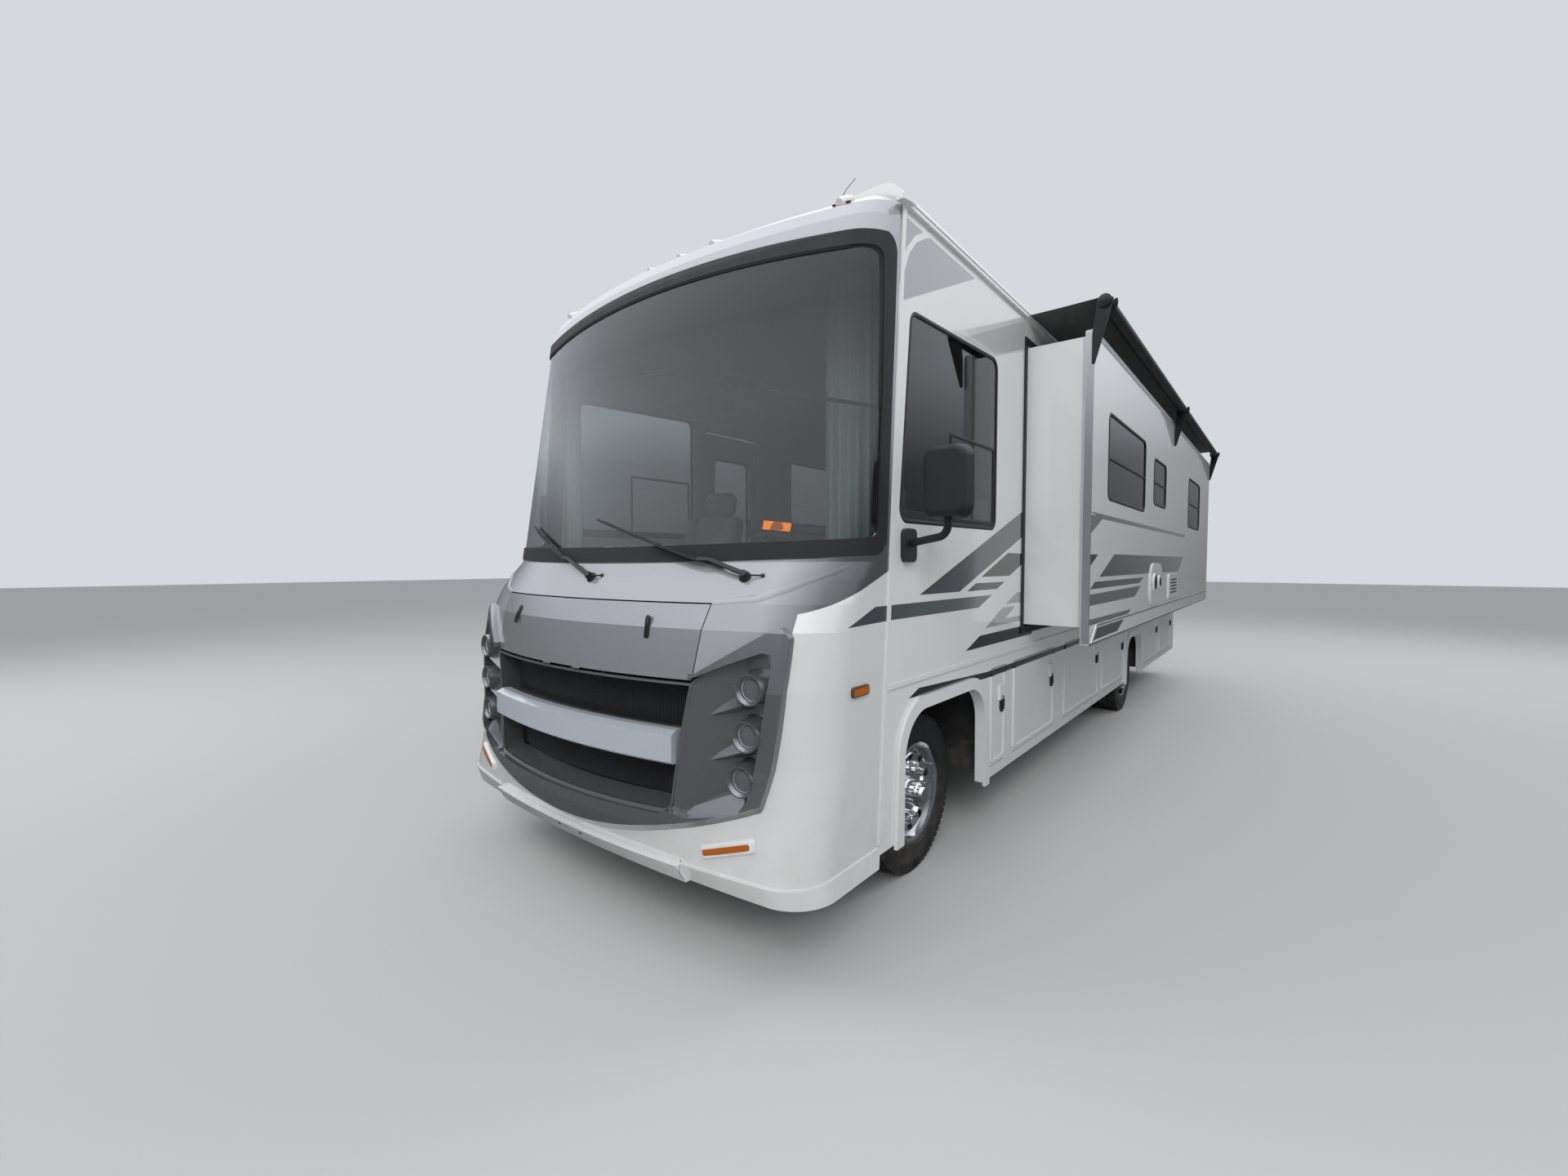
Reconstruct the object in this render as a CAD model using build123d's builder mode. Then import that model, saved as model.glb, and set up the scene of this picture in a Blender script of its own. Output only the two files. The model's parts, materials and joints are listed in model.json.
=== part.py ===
from build123d import *
from functools import cache
from math import asin, cos, degrees, radians, sin, sqrt
import os

os.makedirs("parts", exist_ok=True)

# Motorhome, millimetres, +Z up, front towards -Y, its own left (the driver's side) towards +X.
# Sizes below are written from the front axle: x from the centreline, y from that axle, z from the ground.

# Body
body_width = 2565.0
half_width = body_width / 2
wheelbase = 4826.0
body_rear = 7920.0
rear_seam = 7810.0
wall = 45.0
shell = 30.0
roof_wall = 50.0
wall_top = 3150.0
gutter_z = 3200.0
roof_radius = 130.0
roof_z = gutter_z + roof_radius
belt_z = 1110.0
skirt_bottom = 390.0
skirt_gap = 5.0
seat = 0.3
panel_gap = 6.0

# Seam between the front cap and the walls, leaning back as it rises
seam_y = -711.0
seam_z = 336.0
seam_slope = 0.064

# Front cap sections: height, foremost point, bow radius, corner radius, half width
cap_sections = [
    (336, -1305, 9000, 200, half_width),
    (420, -1370, 6000, 210, half_width),
    (560, -1402, 4000, 230, half_width),
    (850, -1412, 3000, 250, half_width),
    (1150, -1410, 3000, 250, half_width),
    (1376, -1372, 3000, 250, half_width),
    (1482, -1330, 2900, 250, half_width),
    (1580, -1262, 2800, 250, half_width),
    (1650, -1220, 2600, 250, half_width),
    (3050, -890, 4200, 200, half_width),
    (3130, -858, 4300, 200, half_width),
    (3200, -812, 4400, 200, half_width),
    (3250, -735, 4600, 190, half_width - 10),
    (3290, -650, 5000, 170, half_width - 36),
    (3315, -575, 5500, 140, half_width - 68),
    (roof_z, -480, 6000, 100, half_width - 122),
]
crown_start = 3100.0
cap_back = 0.0
bumper_top = 430.0

# Windshield and its rubber seal
seal_low_z = 1612.0
seal_low_corner_z = 1690.0
seal_top_z = 3085.0
seal_top_corner_z = 3036.0
seal_width = 68.0
seal_proud = 6.0
seal_from_seam = 45.0
seal_corner = 90.0
glass_thickness = 6.0

# Hood panel, grille opening and lamp fascia, as half widths in the front view
hood_top_z = 1482.0
hood_top_half = 798.0
hood_low_z = 1168.0
hood_low_half = 770.0
grille_low_z = 610.0
grille_corner_z = 626.0
grille_middle = (719.0, 900.0)
grille_low_half = 684.0
grille_corner = 55.0
bar_half = 705.0
bar_top_z = 950.0
bar_low_z = 840.0
bar_front = -1432.0
bar_bow = 3500.0
mesh_depth = 110.0
hood_hinge_x = 120.0
hood_hinge_y = -1408.0
hood_hinge_z = hood_low_z + 0.5
hood_hinge_radius = panel_gap + 0.2

# Wheels and axles
tyre_radius = 419.0
tyre_width = 245.0
rim_radius = 248.0
spindle_radius = 45.0
front_tyre_x = 985.0
dual_outer_x = 1068.0
dual_inner_x = 788.0
kingpin_x = 840.0
axle_z = tyre_radius
lug_count = 10
lug_circle = 285.75 / 2

# Frame and springs
rail_half = 432.0
rail_flange = 76.0
rail_low = 560.0
rail_top = 790.0
rail_front = -1150.0
rail_rear = 7740.0
spring_x = 394.0
spring_width = 76.0

# Floor and bays under it
floor_thickness = 50.0
cab_floor_top = 1010.0
floor_step_y = 560.0
runner_height = 10.0
tray_low = 425.0
tray_inner_x = 560.0

# Driver's side room, shown run out
room_front = 1122.0
room_rear = 7730.0
room_outer = 1677.0
room_low = 1250.0
room_top = 3010.0
floor_top = room_low - runner_height
floor_low = floor_top - floor_thickness
room_inner = 1190.0
room_wall = 45.0
room_gap = 17.0
flange_drop = 111.0
roller_x = 1742.0
roller_z = 3170.0
roller_radius = 37.0


def plan_points(front_y, bow, corner, half, inset):
    """Corner points of the front's plan outline: side line, corner arc, bow."""
    bow_y = front_y + bow
    corner_x = half - corner
    corner_y = bow_y - sqrt((bow - corner) ** 2 - corner_x**2)
    way_x = corner_x / (bow - corner)
    way_y = (corner_y - bow_y) / (bow - corner)
    mid = sqrt((way_x + 1) ** 2 + way_y**2)
    radius = corner - inset
    side = (half - inset, corner_y)
    knee = (corner_x + radius * (way_x + 1) / mid, corner_y + radius * way_y / mid)
    front = (way_x * (bow - inset), bow_y + way_y * (bow - inset))
    return side, knee, front, (0, front_y + inset)


def mirrored(point):
    return (-point[0], point[1])


@cache
def front_form(inset, low=None, high=None, drop=0.0):
    """Solid inside the front's surface, moved in by inset, between two of its heights."""
    with BuildPart() as form:
        for height, front_y, bow, corner, half in cap_sections:
            if (low is not None and height < low) or (high is not None and height > high):
                continue
            side, knee, front, nose = plan_points(front_y, bow, corner, half, inset)
            level = height - drop if height > crown_start else height
            with BuildSketch(Plane.XY.offset(level)):
                with BuildLine():
                    Line((side[0], cap_back), side)
                    ThreePointArc(side, knee, front)
                    ThreePointArc(front, nose, mirrored(front))
                    ThreePointArc(mirrored(front), mirrored(knee), mirrored(side))
                    Line(mirrored(side), (-side[0], cap_back))
                    Line((-side[0], cap_back), (side[0], cap_back))
                make_face()
        loft(ruled=True)
    return form.part


def ahead_of_seam(gap=0.0):
    """Block that holds all that lies ahead of the cap's seam."""
    low, high = 0.0, 4000.0
    with BuildPart() as block:
        with BuildSketch(Plane.YZ.offset(-2000)):
            Polygon(
                (-3000, low),
                (seam_at(low) - gap, low),
                (seam_at(high) - gap, high),
                (-3000, high),
                align=None,
            )
        extrude(amount=4000)
    return block.part


def seam_at(height):
    return seam_y + seam_slope * (height - seam_z)


def windshield_tool(inset):
    """Everything in front of the windshield's outline, moved in by inset on each side."""
    reach = half_width + 100
    low, low_corner = seal_low_z + inset, seal_low_corner_z + inset
    top, top_corner = seal_top_z - inset, seal_top_corner_z - inset
    with BuildPart() as tool:
        with BuildSketch(Plane.XZ.offset(0)):
            with BuildLine():
                ThreePointArc((-reach, low_corner), (0, low), (reach, low_corner))
                Line((reach, low_corner), (reach, top_corner))
                ThreePointArc((reach, top_corner), (0, top), (-reach, top_corner))
                Line((-reach, top_corner), (-reach, low_corner))
            make_face()
        extrude(amount=2000)
        with BuildSketch(Plane.YZ.offset(-2000)) as side_view:
            back = seal_from_seam + inset
            Polygon(
                (-2500, low - 60),
                (seam_at(low_corner) - back, low_corner - 4),
                (seam_at(top_corner) - back, top_corner),
                (-2500, top + 420),
                align=None,
            )
            rear_corners = side_view.vertices().sort_by(Axis.X)[-2:]
            fillet(rear_corners, seal_corner - inset * 0.6)
        extrude(amount=4000, mode=Mode.INTERSECT)
    return tool.part


def save(piece, label):
    """Write one piece, moved so that the whole stands over the middle of its base."""
    placed = piece.moved(Location((-middle_x, -middle_y, 0)))
    placed.label = label
    export_step(placed, f"parts/{label}.step")


# The whole's outermost points: topper roller, curb mirror, grille bar, ladder
mirror_reach = 1606.0
ladder_depth = 85.0
middle_x = (roller_x + roller_radius + 8.0 - mirror_reach) / 2
middle_y = (bar_front + body_rear + ladder_depth) / 2


# Front cap: one moulded shell with its windshield, hood and grille cut
def front_prism(points, depth=2500):
    """Block that stands in front of an outline in the front view, given by its right half."""
    outline = points + [(-x, z) for x, z in reversed(points)]
    with BuildPart() as block:
        with BuildSketch(Plane.XZ):
            Polygon(*outline, align=None)
        extrude(amount=depth)
    return block.part


def grille_block(inset, high=hood_low_z):
    """Block in front of the grille opening, whose bottom is curved, moved in by inset."""
    low_half, corner_z = grille_low_half - inset, grille_corner_z + inset
    middle = (grille_middle[0] - inset, grille_middle[1])
    top_half = hood_low_half - inset
    with BuildPart() as block:
        with BuildSketch(Plane.XZ) as face:
            with BuildLine():
                ThreePointArc((-low_half, corner_z), (0, grille_low_z + inset), (low_half, corner_z))
                ThreePointArc((low_half, corner_z), middle, (top_half, high))
                Line((top_half, high), (-top_half, high))
                ThreePointArc((-top_half, high), mirrored(middle), (-low_half, corner_z))
            make_face()
            fillet(face.vertices().sort_by(Axis.Y)[:2], grille_corner - inset)
        extrude(amount=2500)
    return block.part


# Lamp recess on the left of the grille: from the grille's edge to the fascia's outer lip
recess_depth = 62.0
recess_wall = 7.0
recess_low = [(690, 640), (772, 622), (1000, 668), (1040, 735)]
recess_bow = (1088, 1020)
recess_top = [(1113, 1225), (1110, 1302), (1062, 1308), (945, 1262), (812, 1206), (768, 1166)]


def recess_block(inset, inner=0.0):
    """Block in front of the left lamp recess, moved in by inset. inner shifts the grille's side inboard."""
    with BuildPart() as block:
        with BuildSketch(Plane.XZ) as face:
            with BuildLine():
                Polyline((recess_low[0][0] - inner, recess_low[0][1]), *recess_low[1:])
                ThreePointArc(recess_low[-1], recess_bow, recess_top[0])
                Polyline(*recess_top[:-1], (recess_top[-1][0] - inner, recess_top[-1][1]))
                ThreePointArc(
                    (recess_top[-1][0] - inner, recess_top[-1][1]),
                    (grille_middle[0] - inner, grille_middle[1]),
                    (recess_low[0][0] - inner, recess_low[0][1]),
                )
            make_face()
            fillet([v for v in face.vertices() if (v.X, v.Y) in (recess_low[2], recess_top[1])], 24)
            if inset:
                offset(amount=-inset, mode=Mode.REPLACE)
        extrude(amount=2500)
    return block.part


hood_side = [(hood_top_half, hood_top_z), (hood_low_half, hood_low_z)]
cap_outer = front_form(0.0)
cap_inner = front_form(shell, drop=shell)
with BuildPart() as front_cap:
    add(cap_outer)
    add(cap_inner, mode=Mode.SUBTRACT)
    add(ahead_of_seam(), mode=Mode.INTERSECT)
    with Locations((0, -700, (bumper_top + seat) / 2)):
        Box(body_width + 200, 2000, bumper_top + seat, mode=Mode.SUBTRACT)
    add(windshield_tool(0.0), mode=Mode.SUBTRACT)
    add(front_prism(hood_side), mode=Mode.SUBTRACT)
    add(grille_block(0.0), mode=Mode.SUBTRACT)
    recess_cut = recess_block(0.0, inner=40.0)
    add(recess_cut, mode=Mode.SUBTRACT)
    add(mirror(recess_cut, about=Plane.YZ), mode=Mode.SUBTRACT)
save(front_cap.part, "front_cap")

# Bumper: the lowest part of the front, with a proud lip between two slanted ends
bumper_proud = 6.0
lip_proud = 30.0
lip_half = 724.0
lip_top = bumper_top - 8.0
lip_slant = 22.0
with BuildPart() as front_bumper:
    add(front_form(-bumper_proud, high=600))
    add(front_form(shell - bumper_proud, high=600), mode=Mode.SUBTRACT)
    with BuildPart(mode=Mode.PRIVATE) as lip:
        add(front_form(-lip_proud, high=600))
        add(front_form(0.0, high=600), mode=Mode.SUBTRACT)
        add(front_prism([(lip_half, lip_top), (lip_half + lip_slant, 0.0)]), mode=Mode.INTERSECT)
    add(lip.part)
    add(ahead_of_seam(), mode=Mode.INTERSECT)
    with Locations((0, -700, bumper_top + 200)):
        Box(body_width + 200, 2000, 400, mode=Mode.SUBTRACT)
save(front_bumper.part, "front_bumper")

# Windshield seal and glass
band_low, band_high = 1560.0, 3140.0
with BuildPart() as windshield_seal:
    add(front_form(-seal_proud, low=band_low, high=band_high))
    add(front_form(shell, low=band_low, high=band_high), mode=Mode.SUBTRACT)
    add(windshield_tool(seat), mode=Mode.INTERSECT)
    add(windshield_tool(seal_width), mode=Mode.SUBTRACT)

glass_inset = 4.0
with BuildPart() as windshield:
    add(front_form(glass_inset, low=band_low, high=band_high))
    add(front_form(glass_inset + glass_thickness, low=band_low, high=band_high), mode=Mode.SUBTRACT)
    add(windshield_tool(seal_width + seat), mode=Mode.INTERSECT)
save(windshield.part, "windshield")

# Hood panel, on a short hinge at the front of its lower edge
with BuildPart() as hood_panel:
    add(cap_outer)
    add(cap_inner, mode=Mode.SUBTRACT)
    add(
        front_prism(
            [
                (hood_top_half - panel_gap, hood_top_z - panel_gap),
                (hood_low_half - panel_gap, hood_low_z + panel_gap),
            ]
        ),
        mode=Mode.INTERSECT,
    )
    for x in (-hood_hinge_x, hood_hinge_x):
        with Locations(Location((x, hood_hinge_y, hood_hinge_z), (0, 90, 0))):
            Cylinder(hood_hinge_radius, 60)
save(hood_panel.part, "hood_panel")

# Grille: a surround in the opening with a ledge and a shelf, the mesh behind, and the bright bar across
surround_wall = 10.0
surround_top = hood_low_z - panel_gap
ledge_front = (-1420.0, grille_low_z + 2)
ledge_rear = (-1250.0, grille_low_z + 46)
shelf_low, shelf_top = 900.0, 942.0
shelf_front = 50.3
with BuildPart() as grille_surround:
    add(front_form(seat + 1, high=1500))
    add(front_form(mesh_depth + 30, high=1500), mode=Mode.SUBTRACT)
    add(grille_block(seat, surround_top), mode=Mode.INTERSECT)
    add(grille_block(surround_wall, surround_top - surround_wall), mode=Mode.SUBTRACT)
with BuildPart() as grille_ledge:
    with BuildSketch(Plane.YZ.offset(-grille_low_half)):
        Polygon(ledge_front, ledge_rear, (ledge_rear[0], 560), (ledge_front[0], 560), align=None)
    extrude(amount=2 * grille_low_half)
    add(grille_block(surround_wall + seat, surround_top), mode=Mode.INTERSECT)
    add(front_form(seat + 1, high=1500), mode=Mode.INTERSECT)
    add(front_form(mesh_depth - seat, high=1500), mode=Mode.SUBTRACT)
with BuildPart() as grille_shelf:
    add(front_form(shelf_front, high=1500))
    add(front_form(mesh_depth - seat, high=1500), mode=Mode.SUBTRACT)
    add(grille_block(surround_wall + seat, surround_top), mode=Mode.INTERSECT)
    with Locations((0, -1200, (shelf_low + shelf_top) / 2)):
        Box(2000, 1000, shelf_top - shelf_low, mode=Mode.INTERSECT)

with BuildPart() as grille_mesh:
    add(front_form(mesh_depth, high=1500))
    add(front_form(mesh_depth + 12, high=1500), mode=Mode.SUBTRACT)
    add(grille_block(surround_wall + seat, surround_top - surround_wall - seat), mode=Mode.INTERSECT)
save(grille_mesh.part, "grille_mesh")

# Bright bar: one bevelled section turned about the centre of its bow
bar_depth = 70.0
bar_profile = [
    (0, bar_low_z),
    (0, bar_top_z),
    (34, bar_top_z + 16),
    (bar_depth, bar_top_z + 16),
    (bar_depth, bar_low_z - 10),
    (12, bar_low_z - 10),
]
bar_turn = degrees(asin(bar_half / bar_bow))
with BuildPart() as grille_bar:
    bow_centre = (0, bar_front + bar_bow, 0)
    end_way = (-sin(radians(bar_turn)), -cos(radians(bar_turn)), 0)
    with BuildSketch(Plane(origin=bow_centre, x_dir=end_way, z_dir=(end_way[1], -end_way[0], 0))):
        Polygon(*[(bar_bow - back, z) for back, z in bar_profile], align=None)
    revolve(axis=Axis(bow_centre, (0, 0, 1)), revolution_arc=2 * bar_turn)
save(grille_bar.part, "grille_bar")

# Lamp fascia: proud lip round the lamp recesses, sloped below, with three bullet pods in each recess
fascia_proud = 30.0
fascia_top = [(1118, 1404), (1160, 1362)]
fascia_side = (1146, 1060)
fascia_low = [(1082, 700), (1046, 652)]
fascia_bottom = (560, 504)
fascia_keel = 456.0
# The underside's slope as an arc drawn at one depth, from which it rises forwards at 45 degrees
keel_depth = -1390.0
keel_arc = [(1060, 832), (0, 462)]
keel_run = 600.0
lamp_places = [(1030, -1262, 1160), (1017, -1266, 978), (994, -1272, 800)]
lamp_radius = 46.0
ring_radius = 62.0
ring_dish = 14.0
pod_radius = 78.0
pod_length = 84.0
pod_reach = 120.0
lamp_yaw = 6.0


def fascia_block():
    """Block in front of the fascia's whole outline."""
    right = [fascia_low[1], fascia_bottom, (0, fascia_keel)]
    with BuildPart() as block:
        with BuildSketch(Plane.XZ) as face:
            with BuildLine():
                for side in (1, -1):
                    top = [(side * x, z) for x, z in [(0, 1206), (800, 1206)] + fascia_top]
                    Polyline(*top)
                    ThreePointArc(
                        top[-1], (side * fascia_side[0], fascia_side[1]),
                        (side * fascia_low[0][0], fascia_low[0][1]),
                    )
                    Line(
                        (side * fascia_low[0][0], fascia_low[0][1]),
                        (side * fascia_low[1][0], fascia_low[1][1]),
                    )
                    ThreePointArc(
                        (side * right[0][0], right[0][1]), (side * 835, 566),
                        (side * right[1][0], right[1][1]),
                    )
                ThreePointArc(fascia_bottom, (0, fascia_keel), mirrored(fascia_bottom))
            make_face()
            corners = [v for v in face.vertices() if abs(v.X) > 1100 or abs(abs(v.X) - fascia_low[0][0]) < 1]
            fillet(corners, 26)
        extrude(amount=2500)
    return block.part


def keel_block():
    """Block above a slope that rises forwards from the fascia's lower edge."""
    reach, height = keel_arc[0]
    with BuildPart() as block:
        with BuildSketch(Plane.XZ.offset(-keel_depth - keel_run)):
            with BuildLine():
                ThreePointArc(
                    (-reach, height - keel_run), (0, keel_arc[1][1] - keel_run), (reach, height - keel_run)
                )
                Polyline(
                    (reach, height - keel_run),
                    (reach + 400, height + 300 - keel_run),
                    (reach + 400, 2400),
                    (-reach - 400, 2400),
                    (-reach - 400, height + 300 - keel_run),
                    (-reach, height - keel_run),
                )
            make_face()
        extrude(amount=3 * keel_run, dir=(0, -1, 1))
    return block.part


def lamp_plane(x, y, z):
    """Plane across one of the left lamps, facing forwards and a little outwards."""
    way = (sin(radians(lamp_yaw)), -cos(radians(lamp_yaw)), 0)
    return Plane(origin=(x, y, z), x_dir=(way[1], -way[0], 0), z_dir=way)


def both_sides(*pieces):
    """The solids of these pieces and of their mirror images."""
    solids = [solid for piece in pieces for solid in piece.solids()]
    return solids + [mirror(solid, about=Plane.YZ) for solid in solids]


lamp_planes = [lamp_plane(*place) for place in lamp_places]

# Pan of the recess: its floor flush beside the grille, then sloping in to its full depth
slope_start = (700, -1345)
slope_end = (960, -1190)
with BuildPart() as lamp_pan:
    add(front_form(seat, high=1500))
    add(front_form(recess_depth + recess_wall, high=1500), mode=Mode.SUBTRACT)
    add(recess_block(seat), mode=Mode.INTERSECT)
    with BuildPart(mode=Mode.PRIVATE) as hollow:
        add(recess_block(recess_wall))
        add(front_form(recess_depth, high=1500), mode=Mode.SUBTRACT)
        with BuildSketch(Plane.XY.offset(500)):
            Polygon(
                slope_start, slope_end, (1400, slope_end[1]), (1400, -1600), (slope_start[0], -1600),
                align=None,
            )
        extrude(amount=1000, mode=Mode.INTERSECT)
    add(hollow.part, mode=Mode.SUBTRACT)

# Tails: ridges that run from the upper two pods' inner edges down to points beside the grille.
# Rows: height of root top, crease and root foot, then of the point
tail_rows = [(1152, 1094, 1070, 1028), (972, 912, 888, 846)]
tail_root_x, tail_point_x = 992, 808
tail_root_y, tail_crease_y, tail_point_y = -1205, -1258, -1268
# Sill: slope from the recess floor down to the fascia's lip. Rows: x, then y and z of its top and its foot
sill_rows = [(1000, -1225, 764, -1272, 668), (722, -1318, 640, -1330, 612)]

with BuildPart() as lamp_ridges:
    for top, crease, foot, point in tail_rows:
        with BuildPart(mode=Mode.PRIVATE) as tail:
            with BuildSketch(Plane.YZ.offset(tail_root_x)):
                Polygon(
                    (-1160, foot), (-1160, top), (tail_root_y, top),
                    (tail_crease_y, crease), (tail_root_y, foot),
                    align=None,
                )
            with BuildSketch(Plane.YZ.offset(tail_point_x)):
                Polygon(
                    (-1200, point - 6), (-1200, point + 6), (tail_point_y + 4, point + 6),
                    (tail_point_y, point), (tail_point_y + 4, point - 6), align=None,
                )
            loft(ruled=True)
        add(tail.part)
    with BuildPart(mode=Mode.PRIVATE) as sill:
        for x, top_y, top_z, foot_y, foot_z in sill_rows:
            with BuildSketch(Plane.YZ.offset(x)):
                Polygon(
                    (top_y + 60, foot_z - 30), (top_y + 60, top_z), (top_y, top_z), (foot_y, foot_z),
                    (foot_y, foot_z - 30), align=None,
                )
        loft(ruled=True)
    add(sill.part)
    for plane in lamp_planes:
        with BuildPart(mode=Mode.PRIVATE) as pod:
            with BuildSketch(plane):
                Circle(ring_radius)
            with BuildSketch(plane.offset(-pod_length)):
                Circle(pod_radius)
            loft()
            with BuildSketch(plane.offset(-pod_length)):
                Circle(pod_radius)
            extrude(amount=-(pod_reach - pod_length))
        add(pod.part)
    add(front_form(recess_depth + recess_wall, high=1500), mode=Mode.SUBTRACT)
    add(recess_block(seat), mode=Mode.INTERSECT)

with BuildPart() as lamp_bowl:
    add(lamp_pan.part)
    add(lamp_ridges.part)
    for plane in lamp_planes:
        with BuildSketch(plane.offset(-200)):
            Circle(lamp_radius + seat)
        extrude(amount=300, mode=Mode.SUBTRACT)
        with BuildSketch(plane.offset(-ring_dish)):
            Circle(lamp_radius + seat)
        with BuildSketch(plane.offset(seat)):
            Circle(ring_radius - 5)
        loft(mode=Mode.SUBTRACT)

with BuildPart() as fascia_lip:
    add(front_form(-fascia_proud, high=1500))
    add(front_form(-seat, high=1500), mode=Mode.SUBTRACT)
    add(fascia_block(), mode=Mode.INTERSECT)
    add(keel_block(), mode=Mode.INTERSECT)
    add(front_prism([(hood_low_half + 4, 1300), (hood_low_half + 4, hood_low_z - 8)]), mode=Mode.SUBTRACT)
    add(grille_block(2.0, 1400), mode=Mode.SUBTRACT)
    lip_cut = recess_block(recess_wall, inner=40.0)
    add(lip_cut, mode=Mode.SUBTRACT)
    add(mirror(lip_cut, about=Plane.YZ), mode=Mode.SUBTRACT)

fascia_pieces = fascia_lip.solids() + grille_surround.solids() + grille_ledge.solids() + grille_shelf.solids()
save(Compound(fascia_pieces + both_sides(lamp_bowl.part)), "lamp_fascia")

# Headlamps: a round housing in each pod under a clear dome
dome_radius = 70.0
dome_top = 3.0
dome_edge = 24.0
housing_depth = 90.0
lamps = []
for plane in lamp_planes:
    with BuildPart() as lamp:
        with BuildSketch(plane.offset(-housing_depth)):
            Circle(lamp_radius)
        extrude(amount=housing_depth)
        with Locations(plane.offset(-dome_top - dome_radius).location):
            Sphere(dome_radius, mode=Mode.INTERSECT)
        with BuildSketch(plane.offset(-housing_depth)):
            Circle(lamp_radius)
        extrude(amount=housing_depth - dome_edge)
    lamps.append(lamp.part)
save(Compound(both_sides(*lamps)), "headlamps")

# Small amber lamps: roof markers, front corner lamps and side markers
marker_roof_y = -652.0
marker_roof_z = 3290.0
marker_length = 90.0
marker_places = [-1040, -250, 0, 250, 1040]
corner_lamp = (947.0, 531.0, 212.0, 24.0)
corner_lamp_tilt = 17.0
side_marker = (-870.0, 1129.0, 110.0, 30.0)
with BuildPart() as marker_lamps:
    for x in marker_places:
        with BuildSketch(Plane.XY.offset(marker_roof_z - 60)):
            with Locations((x, marker_roof_y)):
                SlotOverall(marker_length, 44)
        extrude(amount=100)
    for side in (1, -1):
        with Locations((side * half_width, side_marker[0], side_marker[1])):
            Box(36, side_marker[2], side_marker[3])
    add(front_form(seat, low=500), mode=Mode.SUBTRACT)
    for side in (1, -1):
        with BuildSketch(Plane.XZ):
            with Locations((side * corner_lamp[0], corner_lamp[1])):
                RectangleRounded(corner_lamp[2], corner_lamp[3], 6, rotation=side * corner_lamp_tilt)
        extrude(amount=2000)
    add(front_form(-14, high=3400), mode=Mode.INTERSECT)
    add(front_form(-seat, low=300), mode=Mode.SUBTRACT)

# Wipers: pivot, arm and blade, both parked to the curb side
wiper_pivots = [(884, -1165, 1586), (40, -1300, 1574)]
wiper_tips = [(-20, -1235, 1850), (-800, -1120, 1850)]
with BuildPart() as wipers:
    for pivot, tip in zip(wiper_pivots, wiper_tips):
        foot = Vector(*pivot)
        end = Vector(*tip)
        middle = foot + (end - foot) * 0.55
        for start, stop, width in ((foot, middle, 20.0), (middle, end, 12.0)):
            way = stop - start
            face = Plane(origin=start, z_dir=way)
            with BuildSketch(face):
                Rectangle(width, width)
            extrude(amount=way.length)
        with BuildSketch(Plane(origin=foot, z_dir=(0, -0.75, 0.66)).offset(-60)):
            Circle(22)
        extrude(amount=75)
    add(front_form(-seat, low=1300, high=3200), mode=Mode.SUBTRACT)
save(wipers.part, "wipers")

# Walls: one panel each side from the belt to the roof, with windows, room opening and entry door cut
window_radius = 70.0
cab_window = [(-556, 1821), (610, 1832), (610, 2814), (-461, 2772)]
right_windows = [(1900, 2020, 3000, 2640), (3600, 2080, 4350, 2600), (6050, 2020, 7150, 2640)]
entry_front = 720.0
entry_rear = 1400.0
entry_low = 560.0
entry_top = 2740.0


def side_panel(side, low, high, thickness, front_gap=3.0):
    """Flat side panel of the body from the cap's seam to the rear cap's, between two heights."""
    with BuildPart() as panel:
        with BuildSketch(Plane.YZ.offset(side * half_width)):
            Polygon(
                (seam_at(low) + front_gap, low),
                (rear_seam, low),
                (rear_seam, high),
                (seam_at(high) + front_gap, high),
                align=None,
            )
        extrude(amount=-side * thickness)
    return panel.part


def side_cut(side, points, radius, inset=0.0):
    """Rounded opening through a side panel, given by its corners as y and z."""
    with BuildPart() as cut:
        with BuildSketch(Plane.YZ.offset(side * (half_width + 50))) as face:
            Polygon(*points, align=None)
            fillet(face.vertices(), radius)
            if inset:
                offset(amount=-inset, mode=Mode.REPLACE)
        extrude(amount=-side * 300)
    return cut.part


def box_points(front, low, rear, high):
    return [(front, low), (rear, low), (rear, high), (front, high)]


with BuildPart() as left_wall:
    add(side_panel(1, belt_z, wall_top, wall))
    add(side_cut(1, cab_window, window_radius), mode=Mode.SUBTRACT)
    room_opening = box_points(
        room_front - room_gap, room_low - room_gap, room_rear + room_gap, room_top + room_gap
    )
    add(side_cut(1, room_opening, 5.0), mode=Mode.SUBTRACT)

entry_points = box_points(entry_front, entry_low, entry_rear, entry_top)
with BuildPart() as right_wall:
    add(side_panel(-1, belt_z, wall_top, wall))
    add(side_cut(-1, cab_window, window_radius), mode=Mode.SUBTRACT)
    for window in right_windows:
        add(side_cut(-1, box_points(*window), window_radius), mode=Mode.SUBTRACT)
    add(side_cut(-1, entry_points, 40.0), mode=Mode.SUBTRACT)

# Fixed panes, each filling its opening within a rubber's width
pane_gap = 0.3
pane_thickness = 12.0
pane_set_back = 4.0
pane_plan = {1: [cab_window], -1: [cab_window] + [box_points(*window) for window in right_windows]}
with BuildPart() as side_windows:
    for side, panes in pane_plan.items():
        for points in panes:
            with BuildSketch(Plane.YZ.offset(side * (half_width - pane_set_back))) as pane_face:
                Polygon(*points, align=None)
                fillet(pane_face.vertices(), window_radius)
                offset(amount=-pane_gap, mode=Mode.REPLACE)
            extrude(amount=-side * pane_thickness)
save(side_windows.part, "side_windows")

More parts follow.
